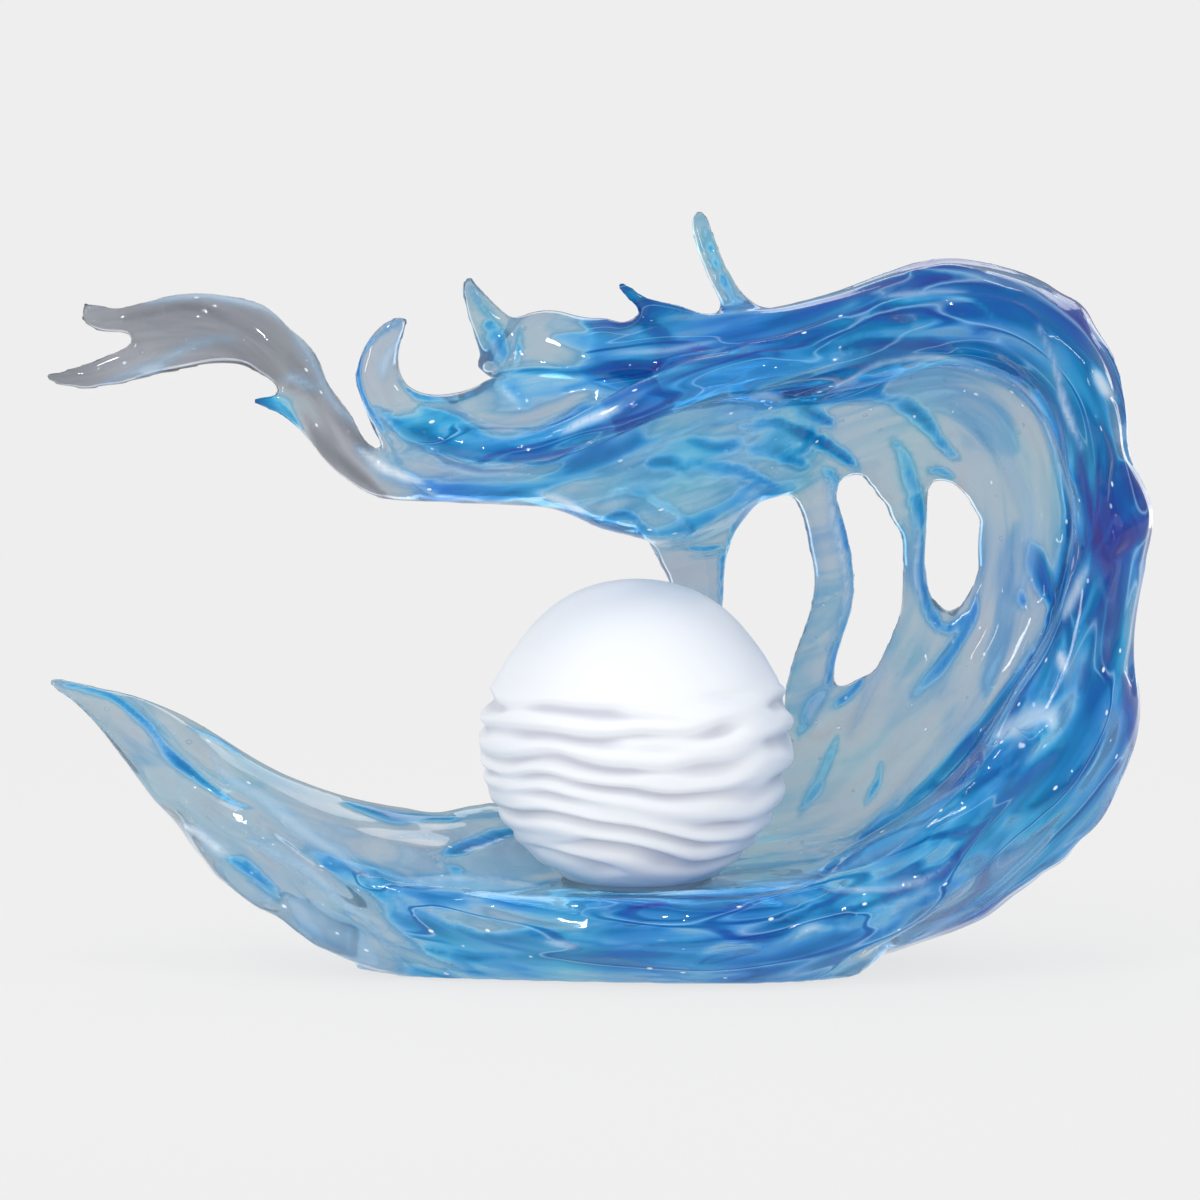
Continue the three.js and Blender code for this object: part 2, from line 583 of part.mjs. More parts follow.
// Clear splash thrown off to the left: body and two prongs in one casting, a small barb below
const TAIL_SPLASH = [
  { rails: [[-95, -16, 278], [-99, -14, 251]], half: 7 },
  { rails: [[-112, -16, 276], [-121, -14, 253]], half: 7 },
  { rails: [[-128, -14, 289], [-137, -14, 263]], half: 7 },
  { rails: [[-140, -12, 307], [-151, -13, 276]], half: 7 },
  { rails: [[-152, -11, 328], [-164, -12, 297]], half: 7 },
  { rails: [[-162, -10, 342], [-172, -11, 313]], half: 7.5 },
  { rails: [[-174, -9, 354], [-186, -10, 323]], half: 8 },
  { rails: [[-191, -8, 363], [-200, -9, 326]], half: 8 },
  { rails: [[-231, -6, 365], [-235, -7, 320]], half: 7 },
  { rails: [[-242, -6, 362], [-250, -6, 317]], half: 6 },
  { rails: [[-246, -6, 353], [-252, -6, 327]], half: 3 },
];
const UPPER_PRONG = [
  { rails: [[-231, -7, 362], [-233, -7, 336]], half: 5 },
  { rails: [[-248, -8, 361], [-248, -7, 342]], half: 5.5 },
  { rails: [[-262, -9, 356], [-259, -8, 344]], half: 5 },
  { rails: [[-270, -11, 359], [-270, -9, 344]], half: 4.5 },
  { rails: [[-276, -12, 361], [-279, -11, 349]], half: 2.5 },
];
const LOWER_PRONG = [
  { rails: [[-235, -6, 345], [-235, -6, 322]], half: 5 },
  { rails: [[-251, -6, 338], [-254, -6, 316]], half: 5.5 },
  { rails: [[-263, -7, 333], [-267, -7, 314]], half: 5 },
  { rails: [[-277, -9, 327], [-282, -8, 314]], half: 4 },
  { rails: [[-288, -10, 323], [-290, -10, 315]], half: 2.8 },
  { rails: [[-297, -12, 321], [-297, -12, 319]], half: 1.2 },
];
bond("tail_splash", CLEAR, [
  loft(TAIL_SPLASH, { across: 4 }),
  loft(UPPER_PRONG, { across: 4 }),
  loft(LOWER_PRONG, { across: 4 }),
]);

const TAIL_BARB = [
  { rails: [[-157, -13, 317], [-153, -13, 282]], half: 6 },
  { rails: [[-166, -14, 313], [-165, -14, 293]], half: 5 },
  { rails: [[-176, -16, 310], [-174, -16, 301]], half: 3 },
  { rails: [[-186, -18, 310], [-185, -18, 305]], half: 1.3 },
];
bond("tail_barb", BLUE, [loft(TAIL_BARB, { across: 4 })]);

// Spikes of spray along the top
const SPIKE_LEFT = [
  { rails: [[-65, 3, 322], [-39, 5, 335]], half: 6.5 },
  { rails: [[-68, 2, 337], [-47, 4, 351]], half: 6.5 },
  { rails: [[-72, -2, 353], [-58, 0, 360]], half: 6 },
  { rails: [[-74, -6, 365], [-65, -4, 368]], half: 3.8 },
  { rails: [[-73, -10, 373], [-69, -9, 373]], half: 1.4 },
];
bond("spike_left", PALE, [loft(SPIKE_LEFT, { across: 4 })]);

const SPIKE_MIDDLE = [
  { rails: [[25, 0, 341], [62, 2, 342]], half: 9 },
  { rails: [[21, -2, 352], [49, 0, 356]], half: 7.5 },
  { rails: [[15, -5, 360], [33, -3, 362]], half: 5 },
  { rails: [[10, -8, 366], [21, -7, 366]], half: 3 },
  { rails: [[8, -10, 371], [11, -10, 370]], half: 1.3 },
];
bond("spike_middle", BLUE, [loft(SPIKE_MIDDLE, { across: 4 })]);

const SPIKE_TALL = [
  { rails: [[69, 8, 344], [99, 8, 344]], half: 9 },
  { rails: [[65, 10, 360], [83, 10, 359]], half: 8 },
  { rails: [[60, 12, 371], [72, 12, 371]], half: 7 },
  { rails: [[55, 15, 383], [66, 15, 382]], half: 6 },
  { rails: [[51, 18, 395], [61, 18, 396]], half: 5.5 },
  { rails: [[49, 20, 403], [59, 20, 404]], half: 4.5 },
  { rails: [[52, 21, 407], [57, 21, 407]], half: 2 },
];
bond("spike_tall", PALE, [loft(SPIKE_TALL, { across: 4 })]);

// Globe: turned about Z, its band of ripples pressed in below a smooth crown with drawn-in shoulders
function pressedIn(turn, height) {
  const top = RIPPLE_BAND_BOTTOM + RIPPLE_COUNT * RIPPLE_PITCH;
  const sway = 0.26 * Math.sin(3 * turn + 0.8) + 0.15 * Math.sin(7 * turn + height / 21);
  const count = (height - RIPPLE_BAND_BOTTOM) / RIPPLE_PITCH + sway;
  const groove = 0.5 - 0.5 * Math.cos(2 * Math.PI * count);
  const fork = 0.72 + 0.28 * Math.sin(2 * turn + height / 11);
  const fadeIn = THREE.MathUtils.smoothstep(height, RIPPLE_BAND_BOTTOM - 4, RIPPLE_BAND_BOTTOM + 6);
  const fadeOut = 1 - THREE.MathUtils.smoothstep(height, top - 8, top + 6);
  const shoulder =
    THREE.MathUtils.smoothstep(height, top - 12, top + 18) *
    (1 - THREE.MathUtils.smoothstep(height, top + 22, 2 * GLOBE_RADIUS));
  return RIPPLE_DEPTH * groove * fork * fadeIn * fadeOut + SHOULDER_DEPTH * shoulder;
}
function globe() {
  const bandTop = RIPPLE_BAND_BOTTOM + (RIPPLE_COUNT + 0.5) * RIPPLE_PITCH;
  const heights = [];
  for (let height = RIPPLE_BAND_BOTTOM - 6; height < bandTop; height += RIPPLE_PITCH / 4) {
    heights.push(height);
  }
  const latitudes = [-Math.PI / 2];
  for (const height of heights) latitudes.push(Math.asin(height / GLOBE_RADIUS - 1));
  const last = latitudes.at(-1);
  const crownRows = 7;
  for (let i = 1; i <= crownRows; i++) {
    latitudes.push(last + ((Math.PI / 2 - last) * i) / crownRows);
  }
  const profile = latitudes.map(
    (latitude, i) =>
      new THREE.Vector2(
        i === 0 || i === latitudes.length - 1 ? 0 : GLOBE_RADIUS * Math.cos(latitude),
        GLOBE_RADIUS * Math.sin(latitude),
      ),
  );
  const turned = new THREE.LatheGeometry(profile, 28).rotateX(Math.PI / 2);
  const position = turned.getAttribute("position");
  const point = new THREE.Vector3();
  for (let i = 0; i < position.count; i++) {
    point.fromBufferAttribute(position, i);
    const depth = pressedIn(Math.atan2(point.y, point.x), point.z + GLOBE_RADIUS);
    point.setLength(point.length() - depth);
    position.setXYZ(i, point.x, point.y, point.z);
  }
  return geometryOf(solidOf(turned.translate(...globeCentre.toArray())));
}
addNode("globe", globe(), WHITE);

export default group;
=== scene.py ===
import bmesh
import bpy
import numpy as np
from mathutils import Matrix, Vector, bvhtree, noise


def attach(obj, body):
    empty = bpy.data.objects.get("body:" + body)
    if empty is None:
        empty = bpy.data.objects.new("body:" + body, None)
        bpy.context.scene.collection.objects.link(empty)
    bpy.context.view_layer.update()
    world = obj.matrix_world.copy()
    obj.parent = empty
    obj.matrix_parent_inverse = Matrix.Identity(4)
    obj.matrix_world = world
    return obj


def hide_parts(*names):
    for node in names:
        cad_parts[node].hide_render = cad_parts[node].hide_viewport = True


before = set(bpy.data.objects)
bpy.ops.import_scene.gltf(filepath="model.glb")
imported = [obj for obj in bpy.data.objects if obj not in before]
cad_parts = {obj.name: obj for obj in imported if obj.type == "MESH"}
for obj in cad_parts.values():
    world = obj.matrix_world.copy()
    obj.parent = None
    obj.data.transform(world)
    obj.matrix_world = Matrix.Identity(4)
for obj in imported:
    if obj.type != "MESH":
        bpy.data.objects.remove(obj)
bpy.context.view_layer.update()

# The wave. Clear and blue casting resin, poured as separate castings, bonded on their coped
# faces and then ground and polished as one surface, so no seam is left to see. The number by
# each casting is the dye in its batch: 0 is water clear, 1 deep blue, and below 0 smoky grey.
MM = 0.001
BLUE_DYE = {
    "base_trough": 0.60,
    "front_ridge": 0.70,
    "left_tongue": 0.08,
    "right_swell": 0.68,
    "right_ridge": 0.94,
    "crest_roll": 0.94,
    "crest_lip": 0.36,
    "crest_crescent": 0.72,
    "crest_hook": 0.06,
    "veil_arch": 0.10,
    "veil_fan": 0.10,
    "strand_front": 0.12,
    "strand_mid": 0.12,
    "strand_right": 0.12,
    "tail_splash": -0.38,
    "tail_barb": 0.60,
    "spike_left": 0.10,
    "spike_middle": 0.80,
    "spike_tall": 0.12,
}
GRAIN = 2.6 * MM  # the finest lump that is left in the bonded block before it is polished
GLUE_SWELL = 0.35 * MM  # fills the 0.3 mm bond lines
THIN_SWELL = 0.8 * MM  # for the thin castings, which lose more when they are polished
THIN_CASTINGS = ("tail_splash", "tail_barb", "spike_left", "spike_middle", "spike_tall", "crest_hook")
SHEET_CASTINGS = ("veil_fan", "veil_arch", "strand_front", "strand_mid", "strand_right")
# Drops of resin that fill the slit under the right gap, between the veil and its strand: place
# and radius in mm.
FILLER_DROPS = [((192.8, 56, 178.5), 8.5), ((194.5, 55.5, 170), 7.5), ((194, 55, 162), 7)]


def settled(piece):
    """The piece with its modifiers worked into its mesh."""
    graph = bpy.context.evaluated_depsgraph_get()
    mesh = bpy.data.meshes.new_from_object(piece.evaluated_get(graph))
    piece.modifiers.clear()
    piece.data = mesh
    return piece


def made(name, shape):
    """A new object at the origin from a bmesh."""
    mesh = bpy.data.meshes.new(name)
    shape.to_mesh(mesh)
    shape.free()
    piece = bpy.data.objects.new(name, mesh)
    bpy.context.scene.collection.objects.link(piece)
    return piece


# Every face of the block remembers the turn of its casting in the list of batches.
CASTINGS = list(BLUE_DYE)
block = bmesh.new()
for turn, casting in enumerate(CASTINGS):
    before = len(block.faces)
    block.from_mesh(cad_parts[casting].data)
    block.faces.ensure_lookup_table()
    for face in block.faces[before:]:
        face.material_index = turn
thin_turns = [CASTINGS.index(casting) for casting in THIN_CASTINGS]
fan_turn = CASTINGS.index("veil_fan")
for place, radius in FILLER_DROPS:
    before = len(block.faces)
    drop = bmesh.ops.create_icosphere(block, subdivisions=3, radius=radius * MM)
    bmesh.ops.translate(block, verts=drop["verts"], vec=Vector(place) * MM)
    block.faces.ensure_lookup_table()
    for face in block.faces[before:]:
        face.material_index = fan_turn
bmesh.ops.remove_doubles(block, verts=block.verts, dist=0.01 * MM)
block.normal_update()
swollen = []
for v in block.verts:
    thin = v.link_faces[0].material_index in thin_turns
    swollen.append(v.co + v.normal * (THIN_SWELL if thin else GLUE_SWELL))
for v, place in zip(block.verts, swollen):
    v.co = place
block.faces.ensure_lookup_table()
casting_at = bvhtree.BVHTree.FromBMesh(block)
casting_turn = [face.material_index for face in block.faces]
for face in block.faces:
    face.material_index = 0
wave = made("resin_wave", block)
remesh = wave.modifiers.new("bond", "REMESH")
remesh.mode = "VOXEL"
remesh.voxel_size = GRAIN
settled(wave)


def islands(shape):
    """The separate shells of a bmesh, each a list of its vertices."""
    seen_before = set()
    shells = []
    for start in shape.verts:
        if start in seen_before:
            continue
        seen_before.add(start)
        shell, queue = [start], [start]
        while queue:
            for edge in queue.pop().link_edges:
                for v in edge.verts:
                    if v not in seen_before:
                        seen_before.add(v)
                        shell.append(v)
                        queue.append(v)
        shells.append(shell)
    return shells


# Voids that the bonding closed in are poured full: only the outer shell is kept.
block = bmesh.new()
block.from_mesh(wave.data)
shells = sorted(islands(block), key=len)
for shell in shells[:-1]:
    bmesh.ops.delete(block, geom=shell, context="VERTS")
block.to_mesh(wave.data)
block.free()


def places(mesh):
    """Where each vertex of a mesh is, in metres."""
    flat = np.empty(len(mesh.vertices) * 3, np.float32)
    mesh.vertices.foreach_get("co", flat)
    return flat.reshape(-1, 3).astype(float)


def facings(mesh):
    """Which way the surface faces at each vertex."""
    flat = np.empty(len(mesh.vertices) * 3, np.float32)
    mesh.vertex_normals.foreach_get("vector", flat)
    return flat.reshape(-1, 3).astype(float)


def joined_by(mesh):
    """The two vertices of each edge."""
    flat = np.empty(len(mesh.edges) * 2, np.int32)
    mesh.edges.foreach_get("vertices", flat)
    return flat.reshape(-1, 2)


def rubbed(values, edges, share, rounds):
    """Moves each value towards the mean of its neighbours, as rubbing down a surface does."""
    a = np.concatenate([edges[:, 0], edges[:, 1]])
    b = np.concatenate([edges[:, 1], edges[:, 0]])
    count = np.maximum(np.bincount(a, minlength=len(values)), 1)
    for _ in range(rounds):
        mean = [np.bincount(a, values[b, k], len(values)) / count for k in range(values.shape[1])]
        values = values + (np.stack(mean, 1) - values) * share[:, None]
    return values


def worked(mesh, co):
    """Moves the vertices of a mesh to new places."""
    mesh.vertices.foreach_set("co", co.astype(np.float32).ravel())
    mesh.update()


SKIN = 0.3  # mm under the surface at which a probe for the far wall starts
NO_WALL = 40.0  # mm that stand for a wall too thick to probe


def wall_thickness(mesh):
    """How thick the resin is under each point of its surface, in mm."""
    shape = bmesh.new()
    shape.from_mesh(mesh)
    tree = bvhtree.BVHTree.FromBMesh(shape)
    shape.free()
    depth = []
    for p, n in zip(places(mesh), facings(mesh)):
        inward = Vector(-n)
        hit = tree.ray_cast(Vector(p) + inward * SKIN * MM, inward)
        depth.append(hit[3] / MM if hit[0] else NO_WALL)
    return np.array(depth)


# Rubbing down and polishing. Stout parts keep their bulk and thin ones only lose their steps.
# The foot stays flat, and what the belt takes off the rims is put back at the end.
ROUNDS = 34  # of rubbing down
RUB, SWELL_BACK = 0.5, -0.52  # shares that one round takes, and gives back to thin parts
LEVEL_ROUNDS, SHEET_ROUNDS = 9, 14  # more rounds for the depth of thin parts and for the veil
POLISH_LOSS, SHEET_LOSS = 1.0, 0.7  # mm off the rims, and off the veil besides
edges = joined_by(wave.data)
co = places(wave.data)
turn_of = np.array([casting_turn[casting_at.find_nearest(Vector(p))[2]] for p in co])
name_of = np.array(CASTINGS)[turn_of]
thick = wall_thickness(wave.data)
thick = rubbed(thick[:, None], edges, np.full(len(co), 0.6), 12)[:, 0]
stout = np.clip((thick - 4) / 16, 0, 1)
foot = np.clip((co[:, 2] / MM - 3) / 6, 0, 1)
for _ in range(ROUNDS):
    co = rubbed(co, edges, RUB * foot, 1)
    co = rubbed(co, edges, SWELL_BACK * foot * (1 - stout) ** 0.7, 1)
sheet = np.isin(name_of, SHEET_CASTINGS)
sheet = rubbed(sheet[:, None] * 1.0, edges, np.full(len(co), 0.7), 8)[:, 0]
for _ in range(LEVEL_ROUNDS):
    co[:, 1] = rubbed(co[:, 1:2], edges, RUB * foot * (1 - stout) * (1 - sheet), 1)[:, 0]
co = rubbed(co, edges, RUB * foot * sheet, SHEET_ROUNDS)
worked(wave.data, co)
pushed = POLISH_LOSS * np.clip(thick / 8, 0.3, 1) + SHEET_LOSS * sheet
co = co + facings(wave.data) * (pushed * foot * MM)[:, None]

# Places where the polisher's belt left the outline fuller or leaner than the castings: across
# and up from the middle of the foot, how far the change reaches, and its shift to the right
# and up, all in mm.
BELT_MOVES = [
    (-279, 357, 12, -2.4, 1.8), (-298, 321, 10, -3.0, 0.4), (-215, 362, 30, 0, 2.0),
    (-177, 362, 22, 0.6, 2.2), (-183, 322, 14, 0, -1.2), (-151, 335, 24, 2.2, 1.8),
    (-134, 305, 22, 2.2, 1.4), (-131, 313, 24, -1.0, 0), (-61, 324, 9, -4, 1.6),
    (-29, 357, 20, 0, 1.6), (13, 349, 10, 0, -1.8), (-8, 349, 16, 0, -1.2),
    (12, 371, 12, 1.0, -0.6), (56, 408, 9, -0.8, 2.0), (6, 238, 26, 0, -1.6),
    (31, 219, 12, -1.5, 0), (89, 249, 12, -0.6, 1.2), (112, 226, 22, -1.4, 0),
    (142, 268, 14, 0, -2.0), (156, 172, 18, -1.8, 0), (134, 151, 12, 0, -4.0),
    (178, 240, 28, 2.8, 0), (188, 189, 8, 0, 3.2), (262, 357, 16, 1.4, 1.4),
    (289, 280, 20, -2.2, 0), (292, 188, 30, -1.4, 0), (268, 84, 24, 1.8, -1.4),
    (224, 36, 20, -1.0, 1.0), (192, 264, 12, 0, -1.2), (-294, 156, 16, -5.0, 1.6),
    (-162, 104, 50, 0, -0.9), (-89, 84, 20, 0, -2.0), (-60, 88, 9, 0, 2.4),
    (-229, 76, 22, 1.8, 1.2), (-195, 38, 28, -3.0, -2.8), (-210, 50, 14, -1.6, -1.2),
    (202, 254, 16, -1.6, -1.0), (153, 259, 14, -1.4, -1.0), (254, 58, 16, 1.4, -1.4),
    (196.5, 186.5, 9, 0, 2.0), (211, 248.5, 10, -2.2, -1.4), (213, 226, 18, -1.4, 0),
    (165.5, 241.5, 12, -2.2, -0.6), (149.3, 263, 8, -1.6, -0.8),
]
for x, z, reach, right, up in BELT_MOVES:
    away = np.hypot(co[:, 0] / MM - x, co[:, 2] / MM - z) / reach
    pull = np.clip(1 - away**2, 0, 1) ** 2
    co[:, 0] += right * MM * pull
    co[:, 2] += up * MM * pull
worked(wave.data, co)

# The flow of the wave. The block is carved along one current, that runs from the splash at the
# end of the tail through the lip and the crest, down the right side and out along the trough
# to the tip of the tongue. Ridges and hollows follow that line, as water pulled by it would.
CURRENT = [
    (-292, 346), (-240, 357), (-190, 350), (-155, 315), (-122, 268), (-60, 285), (20, 305),
    (95, 325), (165, 348), (215, 345), (255, 310), (272, 250), (268, 185), (245, 125),
    (195, 75), (130, 42), (50, 24), (-40, 28), (-110, 48), (-180, 80), (-245, 125), (-300, 158),
]


def bent(points, step=3.0):
    """A line through the points as closely spaced places, with rounded turns."""
    p = np.array(points, float)
    p = np.vstack([2 * p[0] - p[1], p, 2 * p[-1] - p[-2]])
    line = []
    for a, b, c, d in zip(p, p[1:], p[2:], p[3:]):
        count = max(2, int(np.hypot(*(c - b)) / step))
        for t in np.arange(count)[:, None] / count:
            turned = 2 * b + (c - a) * t
            turned = turned + (2 * a - 5 * b + 4 * c - d) * t**2 + (3 * b - a - 3 * c + d) * t**3
            line.append(0.5 * turned.ravel())
    line.append(p[-2])
    return np.array(line)


def beside(points, line):
    """Where each point lies on a line: the length along it, and the distance to its left."""
    along = np.concatenate([[0], np.cumsum(np.hypot(*np.diff(line, axis=0).T))])
    best = np.full(len(points), 1e9)
    where = np.zeros(len(points))
    left = np.zeros(len(points))
    for i in range(len(line) - 1):
        a, d = line[i], line[i + 1] - line[i]
        span = np.hypot(*d)
        t = np.clip(((points - a) @ d) / span**2, 0, 1)
        away = points - a - t[:, None] * d
        far = np.hypot(away[:, 0], away[:, 1])
        side = np.sign(d[0] * away[:, 1] - d[1] * away[:, 0])
        near = far < best
        best = np.where(near, far, best)
        where = np.where(near, along[i] + t * span, where)
        left = np.where(near, far * side, left)
    return where, left


def swirl(points, seed):
    """Smooth noise, one value for each point."""
    shift = Vector((seed * 17.3, seed * 5.1, seed * 9.7))
    return np.array([noise.noise(Vector(p) + shift) for p in points])


def flow_places(co):
    """Each point's place in the current, in mm: along it, across it, and through it."""
    where, left = beside(co[:, [0, 2]] / MM, bent(CURRENT, 6.0))
    return np.stack([where, left, co[:, 1] / MM], 1)


# Ridges about 26 mm apart and 150 mm long, 3 mm high, with ripples of 11 mm over them; both
# wander by up to 9 mm. The sizes after each swirl are in mm along, across and through.
RIDGE_HEIGHT, RIPPLE_HEIGHT, RIDGE_SINK = 3.0, 0.7, 1.7
flow = flow_places(co)
none = np.zeros(len(co))
sway = 9 * swirl(flow / (110, 45, 45), 1)
heave = 9 * swirl(flow / (120, 50, 50), 2)
moved = flow + np.stack([none, sway, heave], 1)
broad = swirl(moved / (150, 26, 30), 3)
narrow = swirl(moved / (85, 11, 12), 4)
relief = RIDGE_HEIGHT * (1 - 2.4 * np.abs(broad)) - RIDGE_SINK + RIPPLE_HEIGHT * narrow

# The dye. It is strongest in the roll, the ridge on the right and the front of the trough, and
# it is drawn out in streaks by the pour, so its edge follows the current. Where the resin is
# deeply dyed the carving is bold, and where it is clear it is calm.
dye = np.array(list(BLUE_DYE.values()))[turn_of]
rolled_clear = 1 - np.clip((co[:, 0] / MM + 16) / 18, 0, 1)
dye = np.where(name_of == "crest_roll", dye + (0.08 - dye) * rolled_clear, dye)
dish_clear = np.clip((co[:, 1] / MM + 45) / 30, 0, 1)
dye = np.where(name_of == "base_trough", dye + (0.14 - dye) * dish_clear, dye)
dye = rubbed(dye[:, None], edges, np.full(len(co), 0.7), 18)[:, 0]
lively = np.clip(1.3 * (dye - 0.12), 0.1, 1)

